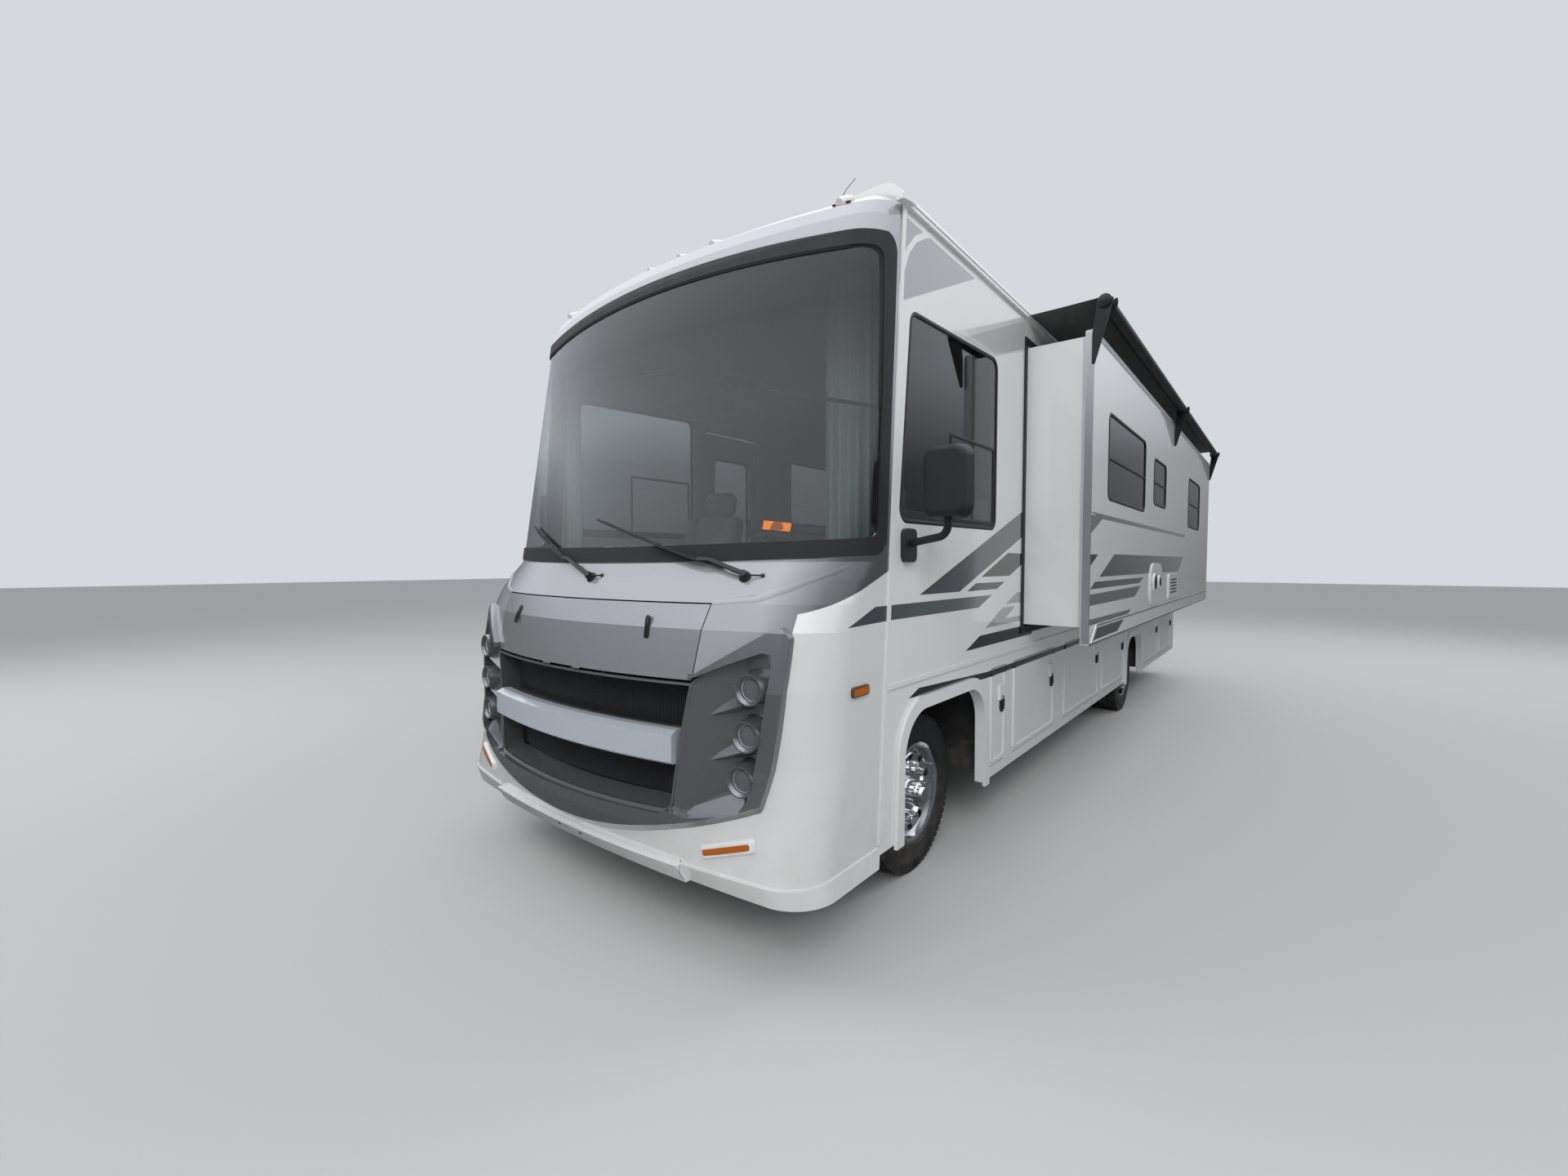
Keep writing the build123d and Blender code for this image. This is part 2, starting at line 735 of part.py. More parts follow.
# Skirts below the belt, with wheel arches and baggage doors cut
skirt_top = belt_z - skirt_gap
front_arch = (-497.0, 448.0, 959.0)
rear_arch = (4428.0, 5233.0, 843.0)
arch_radius = 210.0
door_low = 450.0
door_high = 1030.0
left_doors = [(559, 817), (944, 1825), (2083, 3197), (3330, 4290), (5370, 6400), (6550, 7560)]
right_doors = [(1560, 2900), (5370, 6700)]
door_thickness = 38.0
frame_inset = 10.0
frame_width = 22.0
frame_proud = 5.0


def arch_cut(side, front, rear, top):
    with BuildPart() as cut:
        with BuildSketch(Plane.YZ.offset(side * (half_width + 50))) as face:
            Polygon((front - 14, 0), (rear + 14, 0), (rear, top), (front, top), align=None)
            top_corners = face.vertices().sort_by(Axis.Y)[-2:]
            fillet(top_corners, arch_radius)
        extrude(amount=-side * 300)
    return cut.part


def skirt(side, doors):
    with BuildPart() as panel:
        add(side_panel(side, skirt_bottom, skirt_top, wall))
        for arch in (front_arch, rear_arch):
            add(arch_cut(side, *arch), mode=Mode.SUBTRACT)
        for front, rear in doors:
            add(side_cut(side, box_points(front, door_low, rear, door_high), 18.0), mode=Mode.SUBTRACT)
    return panel.part


with BuildPart() as left_side:
    add(left_wall.part)
    add(skirt(1, left_doors))
save(left_side.part, "left_side")
with BuildPart() as right_side:
    add(skirt(-1, right_doors))
    add(side_cut(-1, box_points(entry_front, entry_low, entry_rear, belt_z + 200), 5.0), mode=Mode.SUBTRACT)
    add(right_wall.part)
save(right_side.part, "right_side")


hinge_radius = 5.0
hinge_out = 2.0
hinge_behind = hinge_radius + seat


def hinge_barrel(side, front, low, high):
    """Long hinge along a door's front edge, its pin just outside the panel."""
    with BuildPart() as barrel:
        with BuildSketch(Plane.XY.offset(low)):
            with Locations((side * (half_width + hinge_out), front + hinge_behind)):
                Circle(hinge_radius)
        extrude(amount=high - low)
    return barrel.part


def baggage_door(side, front, rear):
    with BuildPart() as leaf:
        with BuildSketch(Plane.YZ.offset(side * half_width)) as face:
            Polygon(*box_points(front, door_low, rear, door_high), align=None)
            fillet(face.vertices(), 18.0)
            offset(amount=-panel_gap, mode=Mode.REPLACE)
        extrude(amount=-side * door_thickness)
        with BuildSketch(Plane.YZ.offset(side * half_width)):
            frame_half = (rear - front) / 2 - panel_gap - frame_inset
            frame_height = door_high - door_low - 2 * (panel_gap + frame_inset)
            with Locations(((front + rear) / 2, (door_low + door_high) / 2)):
                RectangleRounded(2 * frame_half, frame_height, 40)
                RectangleRounded(
                    2 * (frame_half - frame_width), frame_height - 2 * frame_width, 24, mode=Mode.SUBTRACT
                )
        extrude(amount=side * frame_proud)
        with Locations((side * half_width, rear - 90, (door_low + door_high) / 2 + 130)):
            Box(20, 60, 90)
        add(hinge_barrel(side, front, door_low + 40, door_high - 40))
    return leaf.part


for count, (front, rear) in enumerate(left_doors, 1):
    save(baggage_door(1, front, rear), f"baggage_door_left_{count}")
for count, (front, rear) in enumerate(right_doors, 1):
    save(baggage_door(-1, front, rear), f"baggage_door_right_{count}")

# Entry door with its own window
entry_window = box_points(entry_front + 130, 1560, entry_rear - 110, 2540)
with BuildPart() as entry_door:
    with BuildSketch(Plane.YZ.offset(-half_width)) as entry_face:
        Polygon(*entry_points, align=None)
        fillet(entry_face.vertices(), 40.0)
        offset(amount=-panel_gap, mode=Mode.REPLACE)
    extrude(amount=door_thickness)
    add(side_cut(-1, entry_window, window_radius), mode=Mode.SUBTRACT)
    with Locations((-half_width, entry_rear - 75, 1440)):
        Box(40, 60, 150)
    add(hinge_barrel(-1, entry_front, entry_low + 80, entry_top - 80))
save(entry_door.part, "entry_door")
with BuildPart() as entry_door_window:
    with BuildSketch(Plane.YZ.offset(-half_width + pane_set_back)) as entry_pane:
        Polygon(*entry_window, align=None)
        fillet(entry_pane.vertices(), window_radius)
        offset(amount=-pane_gap, mode=Mode.REPLACE)
    extrude(amount=pane_thickness)
save(entry_door_window.part, "entry_door_window")

# Roof: a flat middle panel and two rounded edges over the wall tops
roof_start = -700.0
roof_joint_x = half_width - roof_radius - 20


def roof_outline(inset, low):
    """Closed outline across the roof, moved in by inset, down to a height."""
    flat = half_width - roof_radius
    side = half_width - inset
    radius = roof_radius - inset
    top = gutter_z + radius
    with BuildLine() as outline:
        Line((side, low), (side, gutter_z))
        RadiusArc((side, gutter_z), (flat, top), -radius)
        Line((flat, top), (-flat, top))
        RadiusArc((-flat, top), (-side, gutter_z), -radius)
        Line((-side, gutter_z), (-side, low))
        Line((-side, low), (side, low))
    return outline


roof_low = wall_top + seat
with BuildPart() as roof:
    with BuildSketch(Plane.XZ.offset(-roof_start)):
        with BuildLine():
            add(roof_outline(0.0, roof_low).line)
        make_face()
        with BuildLine(mode=Mode.PRIVATE) as hollow_line:
            add(roof_outline(roof_wall, roof_low - 10).line)
        make_face(hollow_line.edges(), mode=Mode.SUBTRACT)
    extrude(amount=-(rear_seam - roof_start - 3))
    add(ahead_of_seam(-3.0), mode=Mode.SUBTRACT)
    for x in (-roof_joint_x, roof_joint_x):
        with Locations((x, rear_seam / 2, roof_z)):
            Box(seat, 2 * rear_seam, 4 * roof_wall, mode=Mode.SUBTRACT)
save(roof.part, "roof")

# Rear cap: moulded end with rounded upright corners and a rounded top edge
rear_radius = 120.0
rear_hollow = 400.0
hitch_z = 520.0
hitch_notch = 130.0
with BuildPart() as rear_cap:
    with BuildSketch(Plane.XY.offset(skirt_bottom)):
        with BuildLine():
            back, start = body_rear, rear_seam - rear_hollow
            corner = half_width - rear_radius
            Line((half_width, start), (half_width, back - rear_radius))
            RadiusArc((half_width, back - rear_radius), (corner, back), -rear_radius)
            Line((corner, back), (-corner, back))
            RadiusArc((-corner, back), (-half_width, back - rear_radius), -rear_radius)
            Line((-half_width, back - rear_radius), (-half_width, start))
            Line((-half_width, start), (half_width, start))
        make_face()
    extrude(amount=roof_z - skirt_bottom)
    with BuildSketch(Plane.XZ.offset(-(rear_seam - rear_hollow))):
        with BuildLine():
            add(roof_outline(0.0, skirt_bottom).line)
        make_face()
    extrude(amount=-(rear_hollow + 500), mode=Mode.INTERSECT)
    straight_edges = rear_cap.edges().filter_by(GeomType.LINE).filter_by(Axis.X)
    top_edges = straight_edges.group_by(Axis.Y)[-1].sort_by(Axis.Z)
    fillet(top_edges[-1], roof_radius - 30)
    with BuildSketch(Plane.XZ.offset(-(rear_seam - rear_hollow))):
        with BuildLine():
            add(roof_outline(roof_wall, skirt_bottom - 10).line)
        make_face()
    extrude(amount=-(rear_hollow + body_rear - rear_seam - wall), mode=Mode.SUBTRACT)
    with Locations((0, rear_seam - 500, 2000)):
        Box(4000, 1000, 5000, mode=Mode.SUBTRACT)
    with Locations((0, body_rear, skirt_bottom)):
        Box(2 * hitch_notch, 400, 2 * (hitch_z + 90 - skirt_bottom), mode=Mode.SUBTRACT)
save(rear_cap.part, "rear_cap")


def plates(table):
    """Separate rectangular plates from rows of x, y and z ranges, each a hair smaller than its place."""
    with BuildPart() as group:
        for (x0, x1), (y0, y1), (z0, z1) in table:
            with Locations(((x0 + x1) / 2, (y0 + y1) / 2, (z0 + z1) / 2)):
                Box(abs(x1 - x0) - seat, abs(y1 - y0) - seat, abs(z1 - z0) - seat)
    return group.part


# Floor in two levels on cross sills, with a raised cover over the engine. Rows: x, y and z ranges
floor_half = half_width - wall - seat
cab_floor_low = cab_floor_top - floor_thickness
cover_half = 385.0
cover_rear = 430.0
cover_top = 1330.0
cover_wall = 25.0
engine_front = -760.0
sill_half = 30.0
sill_low = rail_top + seat
sill_places = [1950, 3260, 4330, 5330, 6475, 7640]
entry_sill_y = 880.0
floor_front = -900.0
floor_rear = 7790.0
well_front = entry_front - 20
well_rear = entry_rear + 20
well_edge = -880.0
runner_places = [1400, 2700, 4000, 5300, 6500, 7500]
runner_width = 240.0
cab_floor_z = (cab_floor_low, cab_floor_top)
floor_z = (floor_low, floor_top)
riser_y = (floor_step_y, floor_step_y + floor_thickness)
cover_y = (floor_front, cover_rear)
cover_side_z = (cab_floor_low, cover_top - cover_wall)
floor_plates = [
    ((cover_half, floor_half), (floor_front, floor_step_y), cab_floor_z),
    ((-floor_half, -cover_half), (floor_front, floor_step_y), cab_floor_z),
    ((-cover_half, cover_half), (cover_rear, floor_step_y), cab_floor_z),
    ((-floor_half, floor_half), riser_y, (sill_low, floor_low)),
    ((-floor_half, well_edge), (floor_step_y, well_front), floor_z),
    ((well_edge, floor_half), (floor_step_y, well_rear), floor_z),
    ((-floor_half, floor_half), (well_rear, floor_rear), floor_z),
    ((-cover_half, cover_half), cover_y, (cover_top - cover_wall, cover_top)),
    ((cover_half - cover_wall, cover_half), cover_y, cover_side_z),
    ((-cover_half, cover_wall - cover_half), cover_y, cover_side_z),
    ((cover_wall - cover_half, cover_half - cover_wall), (cover_rear - cover_wall, cover_rear), cover_side_z),
    (
        (well_edge + 50, floor_half), (entry_sill_y - sill_half, entry_sill_y + sill_half),
        (sill_low, floor_low),
    ),
]
floor_plates += [
    ((-floor_half, floor_half), (y - sill_half, y + sill_half), (sill_low, floor_low)) for y in sill_places
]
floor_plates += [
    ((floor_half - runner_width, floor_half), (y - 40, y + 40), (floor_top, room_low - seat / 2))
    for y in runner_places
]

# Entry step well: three treads with their risers, two end plates, and the folded step hung under them
tread = 25.0
tread_edges = [well_edge, -1000.0, -1120.0, -floor_half]
tread_tops = [1037.5, 824.5, 612.5]
well_end = 12.0
well_y = (well_front + 1, well_rear - 1)
step_plates = []
above = floor_low
for inner, outer, top in zip(tread_edges, tread_edges[1:], tread_tops):
    step_plates.append(((outer, inner + tread), well_y, (top - tread, top)))
    step_plates.append(((inner, inner + tread), well_y, (top, above)))
    above = top - tread
well_end_x = (-floor_half, well_edge + tread)
for y in (well_front + 1 - well_end, well_rear - 1):
    step_plates.append((well_end_x, (y, y + well_end), (tread_tops[-1] - tread, floor_low)))
step_low, step_top = 500.0, 560.0
step_plates.append(((-1230.0, -950.0), (entry_front + 60, entry_rear - 60), (step_low, step_top)))
for y in (entry_front + 90, entry_rear - 90):
    step_plates.append(((-1190.0, -990.0), (y - 15, y + 15), (step_top, tread_tops[-1] - tread)))
save(plates(floor_plates + step_plates), "floor")

# Baggage bays: open trays that hang from the floor's sills
tray_wall = 25.0
tray_top = rail_top
bay_plan = [(1, 545, 4360), (1, 5300, 7670), (-1, 1450, 4360), (-1, 5300, 7670)]
bay_plates = []
for side, front, rear in bay_plan:
    outer = side * (half_width - wall - seat)
    inner = side * tray_inner_x
    back = side * (tray_inner_x + tray_wall)
    wall_z = (tray_low + tray_wall, tray_top)
    bay_plates += [
        ((inner, outer), (front, rear), (tray_low, tray_low + tray_wall)),
        ((inner, back), (front, rear), wall_z),
        ((back, outer), (front, front + tray_wall), wall_z),
        ((back, outer), (rear - tray_wall, rear), wall_z),
    ]
save(plates(bay_plates), "baggage_bays")

# Trim: seam moulding, gutter rails and belt mouldings
rail_proud = 18.0
belt_proud = 7.0
with BuildPart() as mouldings:
    for side in (1, -1):
        with BuildSketch(Plane.YZ.offset(side * (half_width + seat))):
            Polygon(
                (seam_at(bumper_top + 10) - 12, bumper_top + 10),
                (seam_at(bumper_top + 10) + 14, bumper_top + 10),
                (seam_at(gutter_z) + 14, gutter_z - 12),
                (seam_at(gutter_z) - 12, gutter_z - 12),
                align=None,
            )
        extrude(amount=side * belt_proud)
        gutter_start = seam_at(gutter_z) - 12
        rail_x = side * (half_width + seat + rail_proud / 2)
        with Locations((rail_x, (gutter_start + rear_seam) / 2, gutter_z)):
            Box(rail_proud, rear_seam - gutter_start, 24)
        belt_start = seam_at(belt_z) + 14
        belt_spans = [(belt_start, rear_seam)]
        if side < 0:
            belt_spans = [(belt_start, entry_front - 12), (entry_rear + 12, rear_seam)]
        for start, stop in belt_spans:
            with Locations((side * (half_width + seat + belt_proud / 2), (start + stop) / 2, belt_z - 4)):
                Box(belt_proud, stop - start, 22)

# Wheel arch flares and the wells behind them
flare_proud = 16.0
flare_width = 62.0
well_wall = 6.0
with BuildPart() as wheel_flares:
    for side in (1, -1):
        for front, rear, top in (front_arch, rear_arch):
            with BuildSketch(Plane.YZ.offset(side * (half_width + seat))) as flare_face:
                Polygon(
                    (front - 14 - flare_width, skirt_bottom - 20),
                    (rear + 14 + flare_width, skirt_bottom - 20),
                    (rear + flare_width - 14, top + flare_width),
                    (front - flare_width + 14, top + flare_width),
                    align=None,
                )
                fillet(flare_face.vertices().sort_by(Axis.Y)[-2:], arch_radius + flare_width - 20)
            extrude(amount=side * flare_proud)
    for side in (1, -1):
        for arch in (front_arch, rear_arch):
            add(arch_cut(side, *arch), mode=Mode.SUBTRACT)
with BuildPart() as body_trim:
    add(mouldings.part)
    add(wheel_flares.part)
save(body_trim.part, "mouldings")

well_inner = 560.0
well_low = 500.0
with BuildPart() as wheel_wells:
    for side in (1, -1):
        for front, rear, top in ((-620.0, 540.0, 950.0), (rear_arch[0] - 60, rear_arch[1] + 60, 950.0)):
            start = side * well_inner
            with BuildSketch(Plane.YZ.offset(start)) as well_face:
                Polygon((front, well_low), (rear, well_low), (rear, top), (front, top), align=None)
                fillet(well_face.vertices().group_by(Axis.Z)[-1], 150)
            extrude(amount=side * (half_width - wall - seat - well_inner))
            with BuildSketch(Plane.YZ.offset(start + side * well_wall)) as hollow_face:
                Polygon(
                    (front + well_wall, 400), (rear - well_wall, 400),
                    (rear - well_wall, top - well_wall), (front + well_wall, top - well_wall), align=None,
                )
                fillet(hollow_face.vertices().group_by(Axis.Z)[-1], 150 - well_wall)
            extrude(amount=side * 2000, mode=Mode.SUBTRACT)
save(wheel_wells.part, "wheel_wells")

# Seal frame on the wall round the room's opening
room_seal_width = 42.0
room_seal_depth = 8.0
with BuildPart() as room_seal:
    with BuildSketch(Plane.YZ.offset(half_width + seat)):
        Polygon(*box_points(
            room_front - room_gap - room_seal_width,
            room_low - room_gap - room_seal_width,
            room_rear + room_gap + room_seal_width,
            room_top + room_gap + room_seal_width,
        ), align=None)
        Polygon(*box_points(
            room_front - room_gap, room_low - room_gap, room_rear + room_gap, room_top + room_gap
        ), align=None, mode=Mode.SUBTRACT)
    extrude(amount=room_seal_depth)
with BuildPart() as body_seals:
    add(windshield_seal.part)
    add(room_seal.part)
save(body_seals.part, "body_seals")

# Driver's side room: open box, its outer wall larger than the box all round
room_windows = [(1536, 2057, 2872, 2636), (3272, 2151, 3952, 2565), (5600, 2057, 6700, 2636)]
flange_side = 30.0
with BuildPart() as slide_room:
    box_outer = room_outer - room_wall
    with Locations(((room_inner + box_outer) / 2, (room_front + room_rear) / 2, (room_low + room_top) / 2)):
        Box(box_outer - room_inner, room_rear - room_front, room_top - room_low)
        with Locations((-room_wall, 0, 0)):
            Box(
                box_outer - room_inner + room_wall * 2,
                room_rear - room_front - 2 * room_wall,
                room_top - room_low - 2 * room_wall,
                mode=Mode.SUBTRACT,
            )
    with BuildSketch(Plane.YZ.offset(box_outer)) as outer_face:
        Polygon(*box_points(
            room_front - flange_side, room_low - flange_drop, room_rear + flange_side, room_top + flange_side
        ), align=None)
        fillet(outer_face.vertices(), 20)
    extrude(amount=room_wall)
    with BuildSketch(Plane.YZ.offset(box_outer - 200)):
        for front, low, rear, high in room_windows:
            with Locations(((front + rear) / 2, (low + high) / 2)):
                RectangleRounded(rear - front, high - low, window_radius)
    extrude(amount=400, mode=Mode.SUBTRACT)
save(slide_room.part, "slide_room")

with BuildPart() as slide_windows:
    with BuildSketch(Plane.YZ.offset(room_outer - pane_set_back)):
        for front, low, rear, high in room_windows:
            with Locations(((front + rear) / 2, (low + high) / 2)):
                RectangleRounded(
                    rear - front - 2 * pane_gap, high - low - 2 * pane_gap, window_radius - pane_gap
                )
    extrude(amount=-pane_thickness)
save(slide_windows.part, "slide_windows")

# Topper: roller over the room's outer edge, its end brackets, and the fabric to the gutter rail
roller_ends = (1050.0, 7800.0)
bracket_thickness = 12.0
with BuildPart() as topper_roller:
    with BuildSketch(Plane.XZ.offset(-roller_ends[0])):
        with Locations((roller_x, roller_z)):
            Circle(roller_radius)
    extrude(amount=-(roller_ends[1] - roller_ends[0]))
    for y in (roller_ends[0] + bracket_thickness, (roller_ends[0] + roller_ends[1]) / 2, roller_ends[1]):
        with BuildSketch(Plane.XZ.offset(-y)):
            with BuildLine():
                Polyline(
                    (room_outer + seat, room_top - 190),
                    (room_outer + seat + 16, room_top - 190),
                    (roller_x + roller_radius + 4, roller_z - 20),
                    (roller_x + roller_radius + 8, roller_z + 10),
                    (roller_x, roller_z + roller_radius + 4),
                    (roller_x - roller_radius - 6, roller_z),
                    (room_outer + seat, room_top - 20),
                    close=True,
                )
            make_face()
        extrude(amount=bracket_thickness)
save(topper_roller.part, "topper_roller")

fabric_thickness = 3.0
fabric_margin = 40.0
rail_edge = half_width + seat + rail_proud
with BuildPart() as topper_fabric:
    with BuildSketch(Plane.XZ.offset(-(roller_ends[0] + fabric_margin))):
        top = roller_z + roller_radius + seat
        Polygon(
            (rail_edge + seat, gutter_z),
            (roller_x - 30, top),
            (roller_x - 30, top + fabric_thickness),
            (rail_edge + seat, gutter_z + fabric_thickness),
            align=None,
        )
    extrude(amount=-(roller_ends[1] - roller_ends[0] - 2 * fabric_margin))
save(topper_fabric.part, "topper_fabric")

# Roof units: two air conditioners and three vents
cooler_size = (720.0, 1050.0, 300.0)
cooler_places = [1900.0, 5700.0]
vent_size = (380.0, 380.0, 110.0)
vent_places = [(-350.0, 700.0), (-300.0, 3300.0), (-550.0, 4500.0)]
with BuildPart() as roof_units:
    for y in cooler_places:
        with BuildSketch(Plane.XY.offset(roof_z + seat)):
            with Locations((0, y)):
                RectangleRounded(cooler_size[0], cooler_size[1], 90)
        extrude(amount=cooler_size[2], taper=8)
    for x, y in vent_places:
        with BuildSketch(Plane.XY.offset(roof_z + seat)):
            with Locations((x, y)):
                RectangleRounded(vent_size[0], vent_size[1], 40)
        extrude(amount=vent_size[2], taper=6)
save(roof_units.part, "roof_units")

# Curb side awning, folded: case under the gutter and its two arms
awning_ends = (1560.0, 6500.0)
awning_z = 3080.0
awning_radius = 62.0
arm_foot_z = 1350.0
with BuildPart() as awning:
    with BuildSketch(Plane.XZ.offset(-awning_ends[0])):
        with Locations((-half_width - awning_radius - 8, awning_z)):
            Circle(awning_radius)
    extrude(amount=-(awning_ends[1] - awning_ends[0]))
    for y in (awning_ends[0] + 20, awning_ends[1] - 20):
        with Locations((-half_width - seat - 24, y, (arm_foot_z + awning_z) / 2)):
            Box(48, 40, awning_z - arm_foot_z)
save(awning.part, "awning")

# Rear ladder beside the centreline, two rails and seven rungs, hooked over the roof's edge
ladder_x = -780.0
ladder_width = 360.0
ladder_tube = 13.0
ladder_low = 1000.0
with BuildPart() as rear_ladder:
    for side in (1, -1):
        x = ladder_x + side * ladder_width / 2
        with BuildLine() as rail_path:
            FilletPolyline(
                (x, body_rear + seat, ladder_low),
                (x, body_rear + ladder_depth - ladder_tube, ladder_low),
                (x, body_rear + ladder_depth - ladder_tube, roof_z + 90),
                (x, body_rear - 330, roof_z + 90),
                (x, body_rear - 330, roof_z + seat),
                radius=35,
            )
        with BuildSketch(Plane(origin=rail_path.line @ 0, z_dir=rail_path.line % 0)):
            Circle(ladder_tube)
        sweep(path=rail_path.line)
    rungs = 7
    for rung in range(rungs):
        z = ladder_low + 120 + rung * (roof_z - ladder_low - 200) / (rungs - 1)
        with Locations(Location((ladder_x, body_rear + ladder_depth - ladder_tube, z), (0, 90, 0))):
            Cylinder(ladder_tube * 0.8, ladder_width - 2 * (ladder_tube + seat))
save(rear_ladder.part, "rear_ladder")

# Small lamps: markers from above, with the tail lamps and rear markers
tail_lamp = (1090.0, 1180.0, 150.0, 330.0)
with BuildPart() as small_lamps:
    add(marker_lamps.part)
    for side in (1, -1):
        with BuildSketch(Plane.XZ.offset(-(body_rear + seat))):
            with Locations((side * tail_lamp[0], tail_lamp[1])):
                RectangleRounded(tail_lamp[2], tail_lamp[3], 30)
        extrude(amount=-22)
save(small_lamps.part, "small_lamps")

# Mirrors: wall plate, arm and head on each side
mirror_plate = (-479.0, 1723.0)
mirror_head = (1500.0, -553.0, 1985.0)
mirror_size = (200.0, 84.0, 310.0)
mirror_arm = 17.0
with BuildPart() as mirrors:
    for side in (1, -1):
        with BuildSketch(Plane.YZ.offset(side * (half_width + seat))):
            with Locations(mirror_plate):
                RectangleRounded(110, 150, 30)
        extrude(amount=side * 24)
        with BuildLine() as arm_path:
            FilletPolyline(
                (side * (half_width + 20), mirror_plate[0], mirror_plate[1] + 10),
                (side * mirror_head[0], mirror_plate[0] - 40, mirror_plate[1] + 40),
                (side * mirror_head[0], mirror_head[1], mirror_head[2]),
                radius=60,
            )
        with BuildSketch(Plane(origin=arm_path.line @ 0, z_dir=arm_path.line % 0)):
            Circle(mirror_arm)
        sweep(path=arm_path.line)
        with BuildPart(mode=Mode.PRIVATE) as head:
            with BuildSketch(Plane.XZ.offset(-(mirror_head[1] + mirror_size[1] / 2))):
                with Locations((side * (mirror_head[0] + 3), mirror_head[2])):
                    RectangleRounded(mirror_size[0] + 6, mirror_size[2], 55)
            extrude(amount=mirror_size[1], taper=7)
            fillet(head.faces().sort_by(Axis.Y)[0].edges(), 24)
        add(head.part)
save(mirrors.part, "mirrors")

# Chassis frame: two channel rails, cross members, spring hangers, jacks, tank and hitch
web = 8.0
cross_places = [-1100, 1330, 2600, 4150, 5500, 6000, 6800, 7700]
cross_low, cross_high = 700.0, 782.0
front_spring = (0.0, 700.0)
rear_spring = (wheelbase, 760.0)
hanger_low = 505.0
jack_x = 500.0
jack_places = [900.0, 5560.0]
tank_y = (5900.0, 6900.0)
tank_low = 430.0
hitch_rear = 7915.0
hitch_leg_x = 300.0
hanger_half = 30.0 - seat
with BuildPart() as rails:
    for side in (1, -1):
        with BuildSketch(Plane.XZ.offset(-rail_front)):
            with BuildLine():
                x = side * rail_half
                Polyline(
                    (x, rail_low),
                    (x, rail_top),
                    (x - side * rail_flange, rail_top),
                    (x - side * rail_flange, rail_top - web),
                    (x - side * web, rail_top - web),
                    (x - side * web, rail_low + web),
                    (x - side * rail_flange, rail_low + web),
                    (x - side * rail_flange, rail_low),
                    close=True,
                )
            make_face()
        extrude(amount=-(rail_rear - rail_front))
frame_plates = [
    ((web - rail_half, rail_half - web), (y - 35, y + 35), (cross_low, cross_high)) for y in cross_places
]
for side in (1, -1):
    spring_side = (side * spring_x - spring_width / 2, side * spring_x + spring_width / 2)
    for middle, reach in (front_spring, rear_spring):
        for end in (1, -1):
            y = middle + end * (reach + 30)
            frame_plates.append((spring_side, (y - hanger_half, y + hanger_half), (hanger_low, rail_low)))
tank_half = rail_half - rail_flange - 20
frame_plates.append(((-tank_half, tank_half), tank_y, (tank_low, cross_low)))
with BuildPart() as jacks:
    for side in (1, -1):
        for y in jack_places:
            with Locations((side * (rail_half + seat + jack_x) / 2, y, 640)):
                Box(jack_x - rail_half - seat, 60, 120)
            with Locations((side * jack_x, y, 500)):
                Cylinder(42, 400)
            with Locations((side * jack_x, y, 292)):
                Cylinder(105, 16)
with BuildPart() as hitch:
    with Locations((0, 7700, hitch_z)):
        Box(2 * rail_half, 70, 70)
        for x in (-hitch_leg_x, hitch_leg_x):
            with Locations((x, 0, (cross_low - seat - hitch_z) / 2)):
                Box(40, 70, cross_low - seat - hitch_z)
    with Locations((0, (7700 + hitch_rear) / 2, hitch_z)):
        Box(64, hitch_rear - 7700, 64)
    with Locations((0, hitch_rear - 90, hitch_z)):
        Box(51, 200, 51, mode=Mode.SUBTRACT)
with BuildPart() as chassis_frame:
    add(rails.part)
    add(plates(frame_plates))
    add(jacks.part)
    add(hitch.part)
save(chassis_frame.part, "chassis_frame")

# Engine and gearbox as plain blocks, with radiator ahead and exhaust behind
engine_block = (330.0, 350.0, 600.0, 1290.0)
gearbox = (190.0, 1150.0, 480.0, 780.0)
pipe_z = 372.0
pipe_radius = 38.0
with BuildPart() as engine:
    with Locations((0, (engine_front + engine_block[1]) / 2, (engine_block[2] + engine_block[3]) / 2)):
        Box(2 * engine_block[0], engine_block[1] - engine_front, engine_block[3] - engine_block[2])
    with Locations((0, (engine_block[1] + gearbox[1]) / 2, (gearbox[2] + gearbox[3]) / 2)):
        Box(2 * gearbox[0], gearbox[1] - engine_block[1], gearbox[3] - gearbox[2])
    with Locations((0, engine_front - 205, 870)):
        Box(660, 70, 560)
    with Locations((0, engine_front - 85, 870)):
        Box(200, 170, 200)
    with BuildLine() as pipe_path:
        FilletPolyline(
            (-150, 500, gearbox[2] + 40),
            (-150, 500, pipe_z),
            (-150, 3900, pipe_z),
            (-1180, 3900, pipe_z),
            radius=60,
        )
    with BuildSketch(Plane(origin=pipe_path.line @ 0, z_dir=pipe_path.line % 0)):
        Circle(pipe_radius)
    sweep(path=pipe_path.line)
    with Locations(Location((-150, 2600, pipe_z), (90, 0, 0))):
        Cylinder(95, 800)
save(engine.part, "engine_block")

# Leaf springs: front pair and rear pair
with BuildPart() as leaf_springs:
    for side in (1, -1):
        for (middle, reach), low, ends, thick in ((front_spring, 450, 530, 52), (rear_spring, 498, 528, 50)):
            with BuildSketch(Plane.YZ.offset(side * spring_x - spring_width / 2)):
                with BuildLine():
                    front = (middle - reach, ends)
                    rear = (middle + reach, ends)
                    ThreePointArc(front, (middle, low), rear)
                    Line(rear, (rear[0], ends + 14))
                    ThreePointArc((rear[0], ends + 14), (middle, low + thick), (front[0], ends + 14))
                    Line((front[0], ends + 14), front)
                make_face()
            extrude(amount=spring_width)
save(leaf_springs.part, "leaf_springs")

